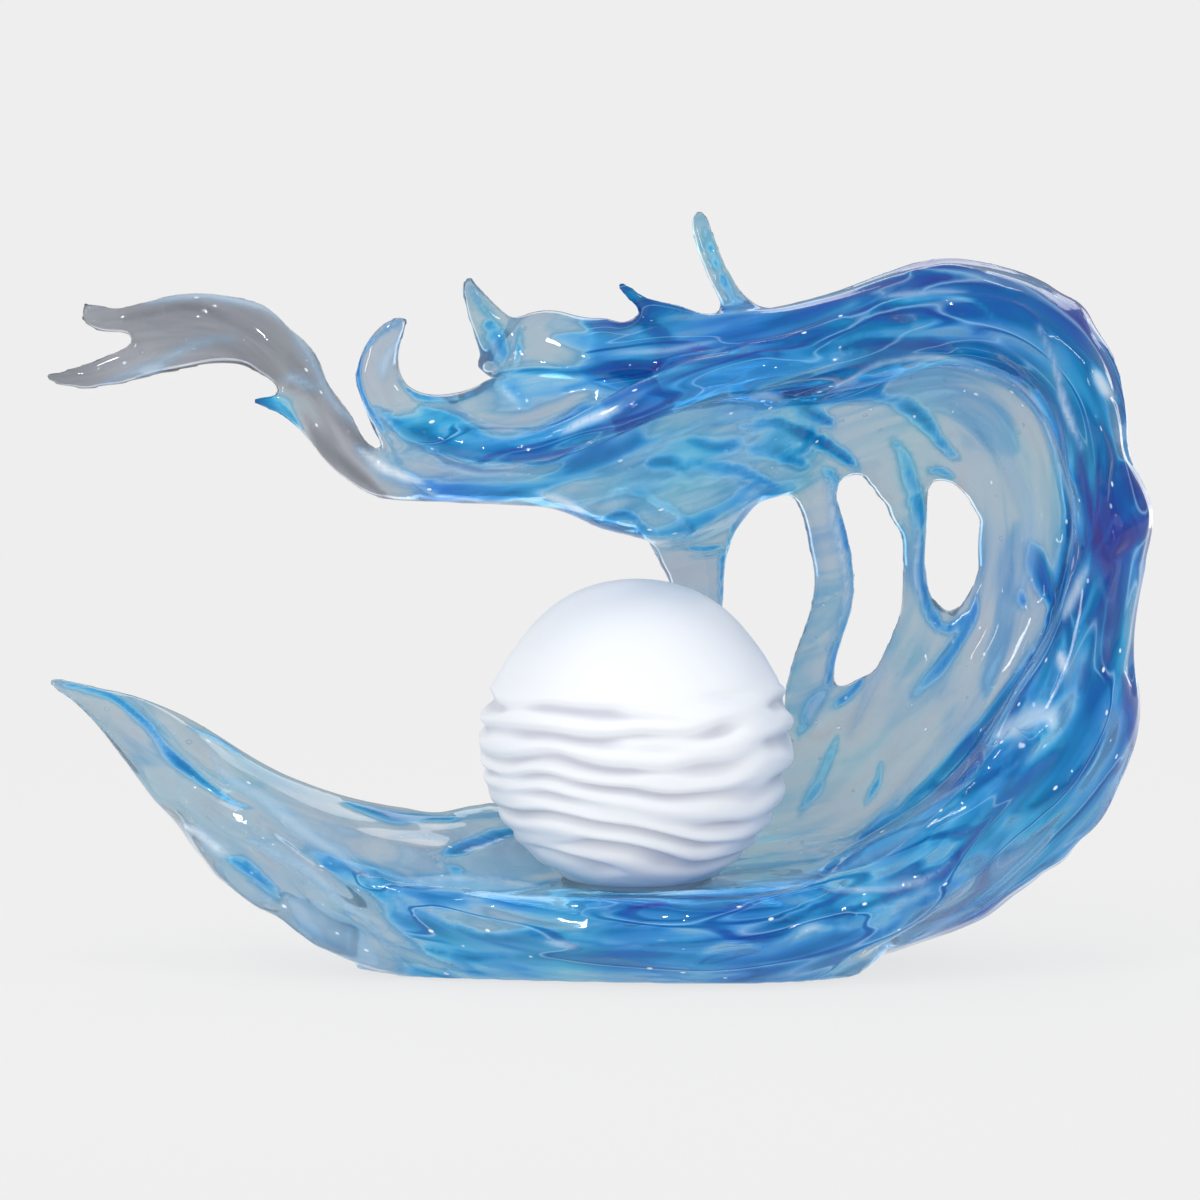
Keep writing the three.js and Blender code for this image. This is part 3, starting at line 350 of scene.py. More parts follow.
# Strokes, seen from the front: folds that the carver's gouge left raised or sunk, with the dye that
# gathered along them. Some of them are painted light: the thin pale lines (0.43) and thin light cyan
# lines (0.56) along ridges are painted highlights, and the dark grey lines (below 0) at the tongue's
# edge and on the tail are painted reflections. Each has half its width in mm, its height in mm, the dye
# that it ends at, and its course over the middle plane in mm. They are laid on in this order.
STROKES = [
    # the tongue
    (3.4, 1.2, 0.8, [(-298, 156), (-283, 152), (-263, 144), (-249, 132), (-236, 117), (-220, 103),
        (-204, 91), (-188, 85)]),
    (2.2, 0.6, 0.85, [(-225, 131), (-209, 123), (-193, 114)]),
    (4.2, 1, 0.85, [(-141, 88), (-125, 83), (-103, 79), (-75, 80)]),
    (4.6, -1.4, 0.9, [(-43, 74), (-59, 69), (-77, 62), (-89, 55)]),
    (3.6, -1.2, 0.75, [(-86, 59), (-80, 53), (-74, 47)]),
    (2.6, 1.1, 0.85, [(-160, 64), (-138, 52), (-117, 34), (-97, 18)]),
    (5.5, 1.8, 0.12, [(-219, 86), (-196, 72), (-166, 59), (-135, 33), (-112, 11), (-83, -3),
        (-59, -9)]),
    (4.4, -1.8, 0.85, [(-204, 59), (-190, 50), (-180, 41), (-173, 33)]),
    # painted reflection: a dark grey line along the tongue's edge
    (2.2, -0.8, -0.5, [(-236, 84), (-226, 73), (-214, 63)]),
    # the trough
    (7, 0, 0.12, [(-97, 58), (-54, 53), (-21, 50), (23, 47), (67, 48), (110, 55)]),
    (5, 0, 0.12, [(110, 53), (130, 61), (148, 72)]),
    (9, 0, 0.74, [(-113, 24), (-87, 12), (-54, 9), (-10, 10), (45, 14), (99, 19), (143, 30)]),
    (5, 0.6, 0.56, [(-87, -5), (-43, -8), (12, -9), (67, -11), (111, -7)]),
    (7.5, -2, 0.47, [(-113, 44), (-86, 43), (-54, 41), (-26, 36), (-9, 30)]),
    (2.2, 0.8, 0.95, [(-125, 52), (-117, 43), (-106, 32), (-87, 21), (-54, 13), (-21, 12), (12, 17)]),
    (2.2, 0.6, 1.25, [(-103, 10), (-70, 2), (-32, 1), (12, 5), (56, 2)]),
    (3.6, 1.4, 0.95, [(-21, 40), (11, 32), (45, 28), (78, 27), (105, 30)]),
    (2.2, 0.8, 0.56, [(-23, 43), (6, 35), (42, 32), (73, 32), (97, 36), (115, 42)]),
    (4, -1.2, 0.52, [(-4, 21), (28, 22), (67, 20), (99, 23)]),
    (3.2, -1.2, 0.5, [(91, 33), (105, 34), (122, 31), (110, 27), (94, 29)]),
    (3, 1, 1.1, [(23, 8), (56, 10), (89, 13), (116, 20), (143, 29)]),
    (4.6, -1.4, 0.56, [(102, 9), (110, 16), (122, 20), (137, 22)]),
    (5, -1.2, 0.5, [(50, -3), (67, 7), (89, 9)]),
    (4, 0, 0.3, [(132, -7), (154, 3), (171, 10)]),
    (6, 0, 0.72, [(-76, 0), (-21, -2), (28, -2), (78, -2), (121, 1)]),
    (6, -1.0, 0.53, [(131, 18), (154, 22), (179, 31)]),
    # the swell
    (11, 0, 0.66, [(127, 45), (159, 58), (189, 77), (214, 101), (235, 128), (252, 155)]),
    (11, 0, 0.82, [(219, 81), (244, 98), (265, 120), (277, 142)]),
    (9, 1.2, 0.14, [(138, 3), (173, 17), (211, 43), (236, 59), (250, 73)]),
    (4, 0, 0.62, [(238, 53), (260, 73), (278, 98), (287, 117)]),
    (3.6, 1.5, 0.85, [(237, 176), (234, 164), (212, 136), (195, 113), (171, 88), (143, 68), (114, 43)]),
    (3, -1.3, 0.9, [(168, 87), (182, 95), (198, 99), (208, 112), (204, 124)]),
    (9, -1.6, 0.46, [(210, 120), (225, 130), (246, 140), (253, 128)]),
    (5, 1.6, 0.6, [(125, 45), (146, 62), (174, 79), (197, 92), (214, 106)]),
    (6, -1.8, 0.46, [(122, 42), (146, 41), (170, 47), (189, 58), (199, 72)]),
    (2.2, 0.8, 1.4, [(114, 43), (138, 38), (168, 40), (190, 50), (207, 71), (225, 92), (251, 116)]),
    (2.2, 0.8, 0.56, [(132, 49), (159, 54), (181, 69), (202, 86), (219, 101)]),
    (2.2, 0.92, 1.3, [(197, 90), (214, 103), (235, 118), (249, 134)]),
    (4.4, -1.4, 0.56, [(138, 24), (154, 29), (175, 36), (191, 43)]),
    (2.2, 0.8, 0.43, [(221, 56), (241, 74), (266, 95), (278, 114)]),
    (2.4, 1, 1.25, [(225, 83), (244, 90), (265, 106), (277, 128)]),
    (5, 1, 1.5, [(286, 158), (294, 138), (292, 116)]),
    (7, 0, 0.84, [(264, 166), (266, 144), (257, 120)]),
    # the ridge on the right
    (3.6, 0, 0.6, [(229, 319), (244, 293), (252, 260), (255, 223)]),
    (8, 0, 0.85, [(222, 362), (250, 340), (264, 308), (270, 281)]),
    (3, 1.3, 1.15, [(185, 364), (209, 364), (228, 358), (239, 344), (250, 313), (259, 286),
        (265, 254), (264, 223)]),
    (4.4, 1.8, 1.3, [(272, 297), (276, 275), (272, 243), (262, 221)]),
    (9, 2, 1.7, [(282, 274), (296, 249), (289, 236), (276, 223)]),
    (4, -1.7, 0.5, [(266, 326), (275, 312), (285, 306)]),
    (3, -1.3, 1.2, [(254, 243), (258, 229), (257, 213)]),
    (4.5, 1.4, 0.62, [(300, 225), (292, 199), (285, 172), (282, 150)]),
    (2.4, 1, 1.35, [(285, 218), (275, 200), (264, 185)]),
    (2.2, 0.8, 1.3, [(272, 199), (269, 172), (261, 144)]),
    # the crest
    (3.4, 1.2, 1.5, [(166, 377), (187, 381), (209, 378)]),
    (2.6, 1.1, 1.5, [(188, 372), (209, 370), (231, 366)]),
    (4.4, -1.4, 1.55, [(241, 368), (253, 360), (266, 343)]),
    (5, -1.8, 1.4, [(135, 352), (152, 354), (169, 350)]),
    (4, -1.6, 1.1, [(158, 359), (179, 360), (198, 353)]),
    (2.2, 0.8, 0.43, [(143, 346), (152, 359), (179, 363), (204, 360), (219, 348)]),
    (3, 1.3, 1.5, [(132, 335), (152, 338), (177, 339), (194, 333)]),
    (4.6, -1.6, 1.0, [(190, 337), (209, 334), (227, 320)]),
    (2.2, 0.8, 0.56, [(79, 334), (115, 336), (147, 343), (182, 347), (209, 343)]),
    (2.2, 0.8, 0.43, [(55, 352), (87, 356), (125, 364), (163, 375), (195, 376), (228, 366)]),
    (2.4, 1, 1.3, [(23, 334), (66, 337), (109, 341), (142, 347)]),
    (5, -0.8, 0.9, [(3, 341), (28, 337), (66, 341), (104, 350)]),
    (3, -0.8, 1.3, [(11, 338), (23, 334), (36, 334)]),
    (5, 0, 1.2, [(20, 354), (31, 344), (42, 340)]),
    (2.2, 0.8, 1.35, [(-62, 321), (-37, 323), (-5, 323), (25, 325), (56, 329), (98, 334)]),
    (2.2, 0.8, 0.56, [(-21, 329), (23, 330), (66, 335), (104, 340)]),
    (12, 0, 0.1, [(-38, 341), (-21, 340), (1, 337)]),
    (2.2, 0.8, 0.56, [(23, 312), (66, 317), (104, 322), (136, 330)]),
    (3, 1.2, 1.3, [(71, 312), (98, 310), (122, 314), (136, 323)]),
    # the lip and the hook
    (7.5, 0, 0.7, [(-100, 303), (-80, 295), (-59, 291), (-31, 293), (-4, 304)]),
    (7, 0, 0.7, [(-86, 260), (-53, 259), (-21, 266), (6, 277), (33, 292)]),
    (6, 0, 0.64, [(-21, 312), (6, 317), (33, 310), (55, 300)]),
    (7, 0, 0.62, [(-27, 343), (1, 337), (33, 334)]),
    (2.2, 0.6, 0.8, [(-105, 353), (-116, 347), (-126, 337), (-129, 320), (-125, 303), (-112, 282),
        (-105, 268)]),
    (2.6, 0.6, 0.62, [(-109, 321), (-100, 310), (-82, 306), (-66, 312)]),
    (7, -1.2, 0.06, [(-78, 303), (-53, 295), (-26, 300), (-4, 312)]),
    (2.2, 0.8, 0.56, [(-81, 293), (-53, 286), (-23, 291), (5, 303), (17, 313)]),
    (4.8, 2, 0.88, [(-125, 307), (-106, 293), (-80, 283), (-55, 278), (-29, 279), (-6, 287),
        (20, 306), (28, 312)]),
    (2.2, 0.8, 1.35, [(-86, 281), (-53, 273), (-26, 275), (1, 287)]),
    (3.6, -1.5, 0.56, [(-53, 316), (-46, 310), (-37, 303)]),
    (5, 1, 0.05, [(-106, 279), (-75, 272), (-42, 270), (-17, 272)]),
    (5.5, -1.4, 0.8, [(-17, 267), (-3, 277), (4, 290), (16, 297)]),
    (6, 0, 0.3, [(23, 286), (50, 301), (71, 312)]),
    (3.8, 1.6, 0.8, [(-109, 270), (-93, 261), (-73, 257), (-53, 255), (-29, 257)]),
    (2.2, 0.6, 0.43, [(-105, 264), (-64, 263), (-16, 265), (28, 263)]),
    (2.2, 0.8, 0.2, [(3, 267), (25, 280), (51, 293), (75, 307)]),
    (3.6, -1.2, 0.85, [(26, 272), (39, 274), (51, 268)]),
    (4.6, -1.8, 0.85, [(1, 243), (15, 243), (29, 238)]),
    (2.2, 0.8, 0.2, [(10, 242), (16, 241), (22, 240)]),
    (2.2, 0.84, 0.8, [(12, 257), (28, 254), (42, 248), (51, 236), (47, 231), (36, 233)]),
    (3.4, -1.2, 0.85, [(47, 286), (63, 282), (81, 287)]),
    (3.4, 1.2, 0.75, [(48, 273), (71, 270), (97, 260)]),
    (3.0, 1.0, 0.8, [(76, 295), (96, 296), (113, 283), (94, 281), (76, 285)]),
    (3.2, 1.0, 0.85, [(90, 277), (102, 275), (114, 273)]),
    (3, 1, 0.75, [(68, 229), (68, 213), (66, 196)]),
    (2.4, 0.8, 0.8, [(48, 226), (59, 227), (69, 229)]),
    # the spikes
    (6, 0.8, 0.62, [(-61, 353), (-55, 341), (-53, 325)]),
    (2.2, 0.6, 0.9, [(-43, 351), (-43, 338), (-44, 325)]),
    (2.2, 0.6, 0.7, [(-70, 371), (-65, 361), (-56, 353)]),
    (2.2, 0.6, 0.8, [(56, 402), (61, 382), (71, 366), (81, 358)]),
    # the veil and its strands
    (5.2, 1.4, 0.78, [(113, 309), (136, 312), (158, 310), (176, 297), (197, 273)]),
    (3.4, -1.2, 0.95, [(109, 306), (117, 300), (128, 293)]),
    (3.2, 1.1, 1.0, [(104, 294), (123, 284), (141, 271)]),
    (5.4, 1.6, 0.68, [(158, 288), (167, 273), (172, 250), (175, 234)]),
    (3.4, 1.3, 0.72, [(174, 238), (176, 208), (182, 188)]),
    (3.2, 1.2, 0.8, [(178, 199), (184, 187), (191, 183), (200, 192)]),
    (2.2, 0.92, 0.9, [(177, 268), (185, 270), (193, 265)]),
    (4.4, 1.6, 0.64, [(126, 272), (129, 250), (136, 219), (138, 199), (129, 172), (123, 147)]),
    (3.4, 1, 0.6, [(120, 273), (127, 267), (125, 258)]),
    (2.6, 1.1, 0.8, [(75, 199), (71, 216), (76, 237), (86, 249), (99, 257), (107, 260)]),
    (4.2, -1.6, 0.85, [(225, 223), (226, 208), (234, 196)]),
    (6, -1.8, 0.85, [(230, 233), (240, 217), (248, 195)]),
    (4, 1.6, 0.72, [(207, 204), (200, 185), (188, 166), (171, 144)]),
    (6, 1.8, 0.1, [(190, 308), (218, 281), (230, 243), (223, 199), (205, 155), (178, 120), (143, 87)]),
    (5, 1.4, 0.15, [(218, 308), (237, 270), (240, 243)]),
    (9, 0, 0.36, [(210, 144), (219, 177), (225, 216), (227, 243)]),
    (16, 0, 0.34, [(153, 312), (180, 316), (207, 302), (226, 277)]),
    (11, 0, 0.0, [(153, 177), (148, 144), (137, 112)]),
    (9, 0, 0.0, [(186, 144), (175, 112), (154, 90)]),
    (3.4, 1.2, 0.62, [(109, 123), (115, 138), (124, 150)]),
    (3, 1.2, 0.8, [(127, 140), (137, 148), (147, 158)]),
    (3.6, 1.2, 0.55, [(133, 129), (121, 103), (110, 81)]),
    (2.2, 0.8, 0.85, [(145, 86), (152, 101), (154, 112)]),
    (2.2, 0.92, 0.6, [(146, 74), (157, 83), (167, 94)]),
    # the splash at the tail
    # painted reflections: the dark grey lines of the splash
    (2.6, -0.8, -0.6, [(-169, 334), (-155, 314), (-140, 295), (-123, 277)]),
    (3.6, -1.2, -0.62, [(-257, 351), (-237, 356), (-215, 356), (-200, 352)]),
    (2.6, -1, -0.5, [(-251, 319), (-226, 325), (-196, 329), (-180, 323)]),
    (2.2, 0.6, -0.55, [(-170, 314), (-159, 311), (-149, 309)]),
    (3.2, -1.0, -0.6, [(-167, 304), (-151, 287), (-131, 268), (-114, 255)]),
]
# Painted highlights and reflections, with a few pale milky patches, laid on as white films: half the
# width in mm, the strength and the course.
SHEENS = [
    # the tongue
    (4.5, 0.5, [(-214, 116), (-200, 102), (-163, 75), (-136, 55), (-121, 41)]),
    (3.8, 0.9, [(-229, 76), (-215, 69), (-198, 55)]),
    (3.0, 0.5, [(-196, 69), (-166, 56), (-136, 32), (-113, 10)]),
    (13, 0.5, [(-170, 36), (-152, 22), (-134, 8), (-120, -2)]),
    # the trough and the swell
    (6.2, 0.35, [(-106, 43), (-76, 43), (-37, 38), (-18, 32)]),
    (2.3, 0.9, [(-106, 44), (-86, 47), (-54, 45), (-26, 40)]),
    (2.3, 0.9, [(-31, 10), (-20, 9), (-10, 9)]),
    (5, 0.4, [(-88, 46), (-64, 46), (-40, 42)]),
    (7, 0.34, [(128, 49), (148, 58), (170, 73), (192, 90)]),
    (5, 0.36, [(150, 41), (168, 45), (186, 38)]),
    (2.8, 0.8, [(108, 12), (114, 18), (125, 20)]),
    (8.5, 0.75, [(214, 124), (230, 132), (246, 138), (249, 127)]),
    (2.3, 0.8, [(121, 41), (149, 39), (173, 43), (191, 55)]),
    (2.5, 0.5, [(138, 55), (159, 64), (181, 83)]),
    (3.8, 0.8, [(113, 130), (116, 140), (123, 149)]),
    (2.3, 0.6, [(149, 27), (168, 32), (186, 40)]),
    (2.8, 0.6, [(165, 8), (187, 20), (209, 33)]),
    # the veil
    (5.6, 0.4, [(185, 312), (212, 292), (230, 259), (235, 221), (224, 188)]),
    (5.0, 0.35, [(219, 177), (211, 150), (192, 123), (167, 95), (147, 73)]),
    (2.6, 0.9, [(124, 270), (126, 248), (132, 218), (134, 197), (125, 171)]),
    (2.6, 0.8, [(171, 243), (174, 210), (179, 193)]),
    (3.8, 0.35, [(162, 199), (159, 172), (146, 144), (137, 123)]),
    (3.8, 0.35, [(110, 177), (116, 205), (118, 232)]),
    # the ridge and the crest
    (2.3, 0.8, [(115, 312), (136, 320), (159, 329), (179, 331), (205, 326), (221, 319),
        (237, 304), (247, 283), (255, 259), (258, 240), (254, 216)]),
    (2.3, 1.0, [(236, 351), (243, 335), (253, 303), (262, 279)]),
    (4.2, 0.9, [(267, 325), (275, 312), (282, 307)]),
    (3.8, 0.8, [(267, 218), (259, 202), (253, 186)]),
    (4.5, 0.9, [(251, 171), (255, 158)]),
    (2.8, 0.5, [(265, 177), (262, 155), (254, 136)]),
    (2.3, 0.6, [(151, 362), (177, 366), (201, 365)]),
    (4.2, 0.7, [(79, 308), (88, 310), (104, 306)]),
    (2.3, 0.6, [(1, 332), (33, 335), (66, 341)]),
    # the lip, the hook and the spike
    (3.8, 0.9, [(-23, 288), (-4, 297), (14, 306)]),
    (2.8, 0.7, [(-105, 344), (-113, 334), (-116, 319)]),
    (2.3, 0.7, [(-53, 317), (-49, 310), (-42, 306)]),
    (3.2, 0.9, [(-34, 258), (-21, 254), (-6, 246)]),
    (2.3, 0.6, [(4, 268), (25, 280), (51, 293), (75, 307)]),
    (2.5, 0.7, [(-57, 344), (-56, 335), (-53, 329)]),
    (2.3, 0.6, [(-94, 274), (-64, 267), (-37, 266)]),
    (2.5, 0.6, [(122, 267), (127, 261), (125, 254)]),
    (2.3, 0.6, [(27, 254), (42, 247), (49, 237)]),
    # the splash at the tail
    (2.4, 0.5, [(-272, 316), (-242, 326), (-215, 340), (-196, 343)]),
    (2.4, 0.7, [(-226, 362), (-204, 364), (-184, 359), (-170, 348)]),
    (2.8, 0.6, [(-275, 358), (-250, 362), (-218, 364), (-185, 360), (-161, 340), (-144, 309),
        (-119, 278)]),
    (3.8, 1.0, [(-133, 283), (-115, 270), (-92, 261)]),
    (2.3, 0.8, [(-249, 321), (-242, 323), (-235, 326)]),
    (2.3, 0.8, [(-172, 321), (-161, 317), (-152, 312)]),
]
# The eye that the strokes are laid out for stands where the camera will.
AIM = Vector((0.001, 0.0025, 0.1992))
TILT = np.radians(5.5)
EYE_DISTANCE = 2.6
EYE = AIM + EYE_DISTANCE * Vector((0, -np.cos(TILT), np.sin(TILT)))


def seen(co):
    """Where the line from the eye through each point crosses the middle plane, in mm."""
    eye = np.array(EYE)
    ray = co - eye
    reach = (AIM.y - eye[1]) / ray[:, 1]
    return (eye + ray * reach[:, None])[:, [0, 2]] / MM


def laid(course, half, spot):
    """Where one stroke falls: the points it reaches, and how far each is from its middle."""
    line = bent(course, 4.0)
    low, high = line.min(0) - 1.5 * half, line.max(0) + 1.5 * half
    near = np.flatnonzero(((spot > low) & (spot < high)).all(1))
    if not len(near):
        return near, near
    along, off = beside(spot[near], line)
    whole = np.hypot(*np.diff(line, axis=0).T).sum()
    slim = np.clip(np.minimum(along, whole - along) / (0.3 * whole), 0, 1) ** 0.55
    return near, off / (half * slim + 0.01)


def front_of(co, out):
    """1 where the surface faces the eye, less where it looks away."""
    view = np.array(EYE) - co
    view /= np.linalg.norm(view, axis=1)[:, None]
    facing = (out * view).sum(1)
    return np.clip(facing / 0.35, 0, 1) + 0.7 * np.clip(-facing / 0.35, 0, 1)


def wavering(spot):
    """The strokes' edges wander a little, as dye in a pour does."""
    deep = np.column_stack([spot, np.zeros(len(spot))])
    return spot + np.column_stack([
        2.6 * swirl(deep / 26, 11) + 0.35 * swirl(deep / 9, 12),
        2.6 * swirl(deep / 26, 13) + 0.35 * swirl(deep / 9, 14),
    ])


# The folds are raised first. The underside stays flat, and the dish keeps clear of the globe.
FOOT_PLANE = 1.2 * MM
GLOBE = Vector((0.021, -0.0055, 0.1252))
GLOBE_RADIUS = 86.0
DISH_GAP = 0.5
spot = wavering(seen(co))
front = front_of(co, facings(wave.data))
height = np.zeros(len(co))
for half, rise, _, course in STROKES:
    near, off = laid(course, half * 1.2, spot)
    if len(near):
        height[near] += rise * np.clip(1 - off**2, 0, 1) ** 2 * front[near]
deep_enough = np.clip((thick - 2) / 9, 0.0, 1)
rise = (relief * lively * (1 - 0.35 * np.clip(np.abs(height), 0, 1)) + height) * deep_enough
rise *= np.clip((co[:, 2] / MM - 2) / 16, 0, 1)
co = co + facings(wave.data) * (rise * MM)[:, None]
co = rubbed(co, edges, np.full(len(co), 0.35), 2)
co[:, 2] = np.maximum(co[:, 2], FOOT_PLANE)
out = co - np.array(GLOBE)
far = np.linalg.norm(out, axis=1)
dish = (GLOBE_RADIUS + DISH_GAP) * MM
inside = far < dish
co[inside] = np.array(GLOBE) + out[inside] / far[inside][:, None] * dish
worked(wave.data, co)

# Then the dye is drawn out along the current, painted deeper in the hollows of the carving as shade,
# gathers in the folds, and is rubbed soft.
spot = wavering(seen(co))
front = front_of(co, facings(wave.data))
flow = flow_places(co)
veered = flow + np.stack([none, 12 * swirl(flow / (70, 40, 40), 7), none], 1)
streak = swirl(veered / (115, 17, 20), 6) + 0.5 * swirl(veered / (60, 7, 9), 8)
# painted shade: the hollows of the relief get a deeper blue
dye = dye + (streak - 0.05 * relief) * np.clip(dye - 0.05, 0.04, 0.8)
dye = dye + 0.3 * swirl(veered / (80, 26, 40), 15) * np.clip((0.3 - dye) / 0.2, 0, 1)
for half, _, tint, course in STROKES:
    near, off = laid(course, half * 1.08, spot)
    if len(near):
        crisp, soft = min(half / 1.7, 2.2), min(half / 2.2, 1.4)
        edge = np.clip((1 - np.abs(off)) * np.where(off > 0, crisp, soft), 0, 1)
        toned = tint + 0.2 * np.clip(off, -1, 1) * (tint > 0.5)
        dye[near] += (toned - dye[near]) * edge * front[near]
thread = swirl(veered / (50, 8, 9), 9)
mottle = swirl(veered / (40, 11, 12), 16)
dye = dye + (0.55 * thread + 0.3 * mottle) * np.clip(dye - 0.42, 0, 0.6)
dye = rubbed(dye[:, None], edges, np.full(len(co), 0.45), 2)[:, 0]

# Last the painted highlights and milky patches: faint painted glints along the crowns of some ridges,
# and those listed above.
spread = np.clip(swirl(flow / (70, 40, 40), 10) * 3 + 0.25, 0, 1)
crown = np.clip(1 - np.abs(broad) / 0.07, 0, 1)
sheen = 0.45 * crown * spread * np.clip(lively * 1.3 - 0.5, 0, 1) * front
for half, strength, course in SHEENS:
    near, off = laid(course, half * 1.1, spot)
    if len(near):
        glow = np.clip(1 - off**2, 0, 1) * strength
        sheen[near] = np.maximum(sheen[near], glow * front[near])
sheen = rubbed(sheen[:, None], edges, np.full(len(co), 0.5), 2)[:, 0]
for name, values in (("dye", dye), ("sheen", sheen), ("lively", lively)):
    written = wave.data.attributes.new(name, "FLOAT", "POINT")
    written.data.foreach_set("value", values.astype(np.float32))
current = wave.data.attributes.new("current", "FLOAT_VECTOR", "POINT")
current.data.foreach_set("vector", (flow * MM).astype(np.float32).ravel())
for face in wave.data.polygons:
    face.use_smooth = True


def hue(code):
    """An sRGB hex colour as Blender's linear RGBA."""
    parts = [int(code[i : i + 2], 16) / 255 for i in (1, 3, 5)]
    return [c / 12.92 if c <= 0.04045 else ((c + 0.055) / 1.055) ** 2.4 for c in parts] + [1]


def add(tree, kind, setting=None, inputs=None):
    """A node with its settings, and its inputs set or linked."""
    new = tree.nodes.new("ShaderNode" + kind)
    for name, value in (setting or {}).items():
        setattr(new, name, value)
    for key, value in (inputs or {}).items():
        if isinstance(value, bpy.types.NodeSocket):
            tree.links.new(value, new.inputs[key])
        else:
            new.inputs[key].default_value = value
    return new


def mixture(name):
    """A new empty material and its node tree."""
    stuff = bpy.data.materials.new(name)
    stuff.use_nodes = True
    stuff.node_tree.nodes.clear()
    return stuff, stuff.node_tree


def blend(ramp, stops):
    """Sets the stops of a colour ramp: each has its place from 0 to 1 and its hex colour."""
    for end in (0, -1):
        ramp.elements[end].position, ramp.elements[end].color = stops[end][0], hue(stops[end][1])
    for place, code in stops[1:-1]:
        ramp.elements.new(place).color = hue(code)


def repeats(*sizes):
    """Mapping scales for a pattern whose spots are so many mm along, across and through."""
    return [1 / (size * MM) for size in sizes]


# Casting resin, polished. Dye runs through it in streaks, from water clear through cyan to a
# violet blue where it is deepest. Real resin has an IOR near 1.5. So thick a block mirrors and
# bends its surroundings less than that in the eye, so the body has 1.25 and the coat has 1.5.
PALEST, DEEPEST = -0.8, 2.0
# The greys under -0.45 mostly serve the dark lines painted as reflections, and the pale blue at 0.44 the
# lines painted as highlights.
DYE_COLOURS = [
    (PALEST, "#6B6F78"), (-0.45, "#9EA1A9"), (-0.22, "#BDBFC7"), (0.0, "#C3D0DA"),
    (0.14, "#B7CEDC"), (0.34, "#70B0D6"), (0.44, "#98CEEE"), (0.50, "#78C6F3"),
    (0.62, "#3EA3E6"), (0.80, "#1A89CD"), (0.95, "#0A70B4"), (1.12, "#1268BC"),
    (1.35, "#1558AC"), (1.6, "#2C4AA6"), (DEEPEST, "#333A90"),
]
resin, tree = mixture("polished_casting_resin")
dye_read = add(tree, "Attribute", {"attribute_name": "dye"})
sheen_read = add(tree, "Attribute", {"attribute_name": "sheen"})
lively_read = add(tree, "Attribute", {"attribute_name": "lively"})
place_read = add(tree, "Attribute", {"attribute_name": "current"})

# Wisps of dye, 111 mm long and 10.5 mm across, and swarms three times as large.
drawn = add(tree, "Mapping", {}, {
    "Vector": place_read.outputs["Vector"], "Scale": repeats(111.111, 10.5263, 12.5),
})
wisps = add(tree, "TexNoise", {}, {
    "Vector": drawn.outputs[0], "Scale": 1.0, "Detail": 2.0, "Distortion": 0.6,
})
wisp = add(tree, "MapRange", {}, {0: wisps.outputs[0], 1: 0.3, 2: 0.7, 3: -0.14, 4: 0.14})
hazy = add(tree, "Math", {"operation": "ADD"}, {0: dye_read.outputs["Fac"], 1: wisp.outputs[0]})
swarms = add(tree, "TexNoise", {}, {"Vector": drawn.outputs[0], "Scale": 0.35, "Detail": 1.0})

# Where the dye is deep, painted highlights in hair lines, and violet hair lines of dye, are drawn out
# along the pour.
hairs = add(tree, "Mapping", {}, {
    "Vector": place_read.outputs["Vector"], "Scale": repeats(125, 16.129, 20),
})
hair = add(tree, "TexNoise", {}, {
    "Vector": hairs.outputs[0], "Scale": 1.0, "Detail": 0.0, "Distortion": 0.35,
})
deep = add(tree, "MapRange", {}, {0: lively_read.outputs["Fac"], 1: 0.45, 2: 0.7})


def hair_line(middle, half, low, high, weight):
    """A line where the noise passes one value, kept in the swarms between low and high."""
    away = add(tree, "Math", {"operation": "SUBTRACT"}, {0: hair.outputs[0], 1: middle})
    near = add(tree, "Math", {"operation": "ABSOLUTE"}, {0: away.outputs[0]})
    line = add(tree, "MapRange", {}, {0: near.outputs[0], 1: 0.0, 2: half, 3: weight, 4: 0.0})
    patch = add(tree, "MapRange", {}, {0: swarms.outputs[0], 1: low, 2: high})
    there = add(tree, "Math", {"operation": "MULTIPLY"}, {0: patch.outputs[0], 1: deep.outputs[0]})
    kept = add(tree, "Math", {"operation": "MULTIPLY"}, {0: line.outputs[0], 1: there.outputs[0]})
    return kept.outputs[0]


light_hair = add(tree, "Math", {"operation": "MAXIMUM"}, {
    0: hair_line(0.5, 0.018, 0.42, 0.54, 0.5), 1: hair_line(0.57, 0.014, 0.58, 0.48, 0.45),
})
violet_hair = add(tree, "Math", {"operation": "ADD"}, {
    0: hair_line(0.44, 0.045, 0.58, 0.46, 0.7), 1: hair_line(0.53, 0.026, 0.42, 0.54, 0.55),
})
level = add(tree, "Math", {"operation": "ADD"}, {0: hazy.outputs[0], 1: violet_hair.outputs[0]})
strength = add(tree, "MapRange", {}, {0: level.outputs[0], 1: PALEST, 2: DEEPEST})
batch = add(tree, "ValToRGB", {}, {0: strength.outputs[0]})
SPAN = DEEPEST - PALEST
blend(batch.color_ramp, [((amount - PALEST) / SPAN, code) for amount, code in DYE_COLOURS])

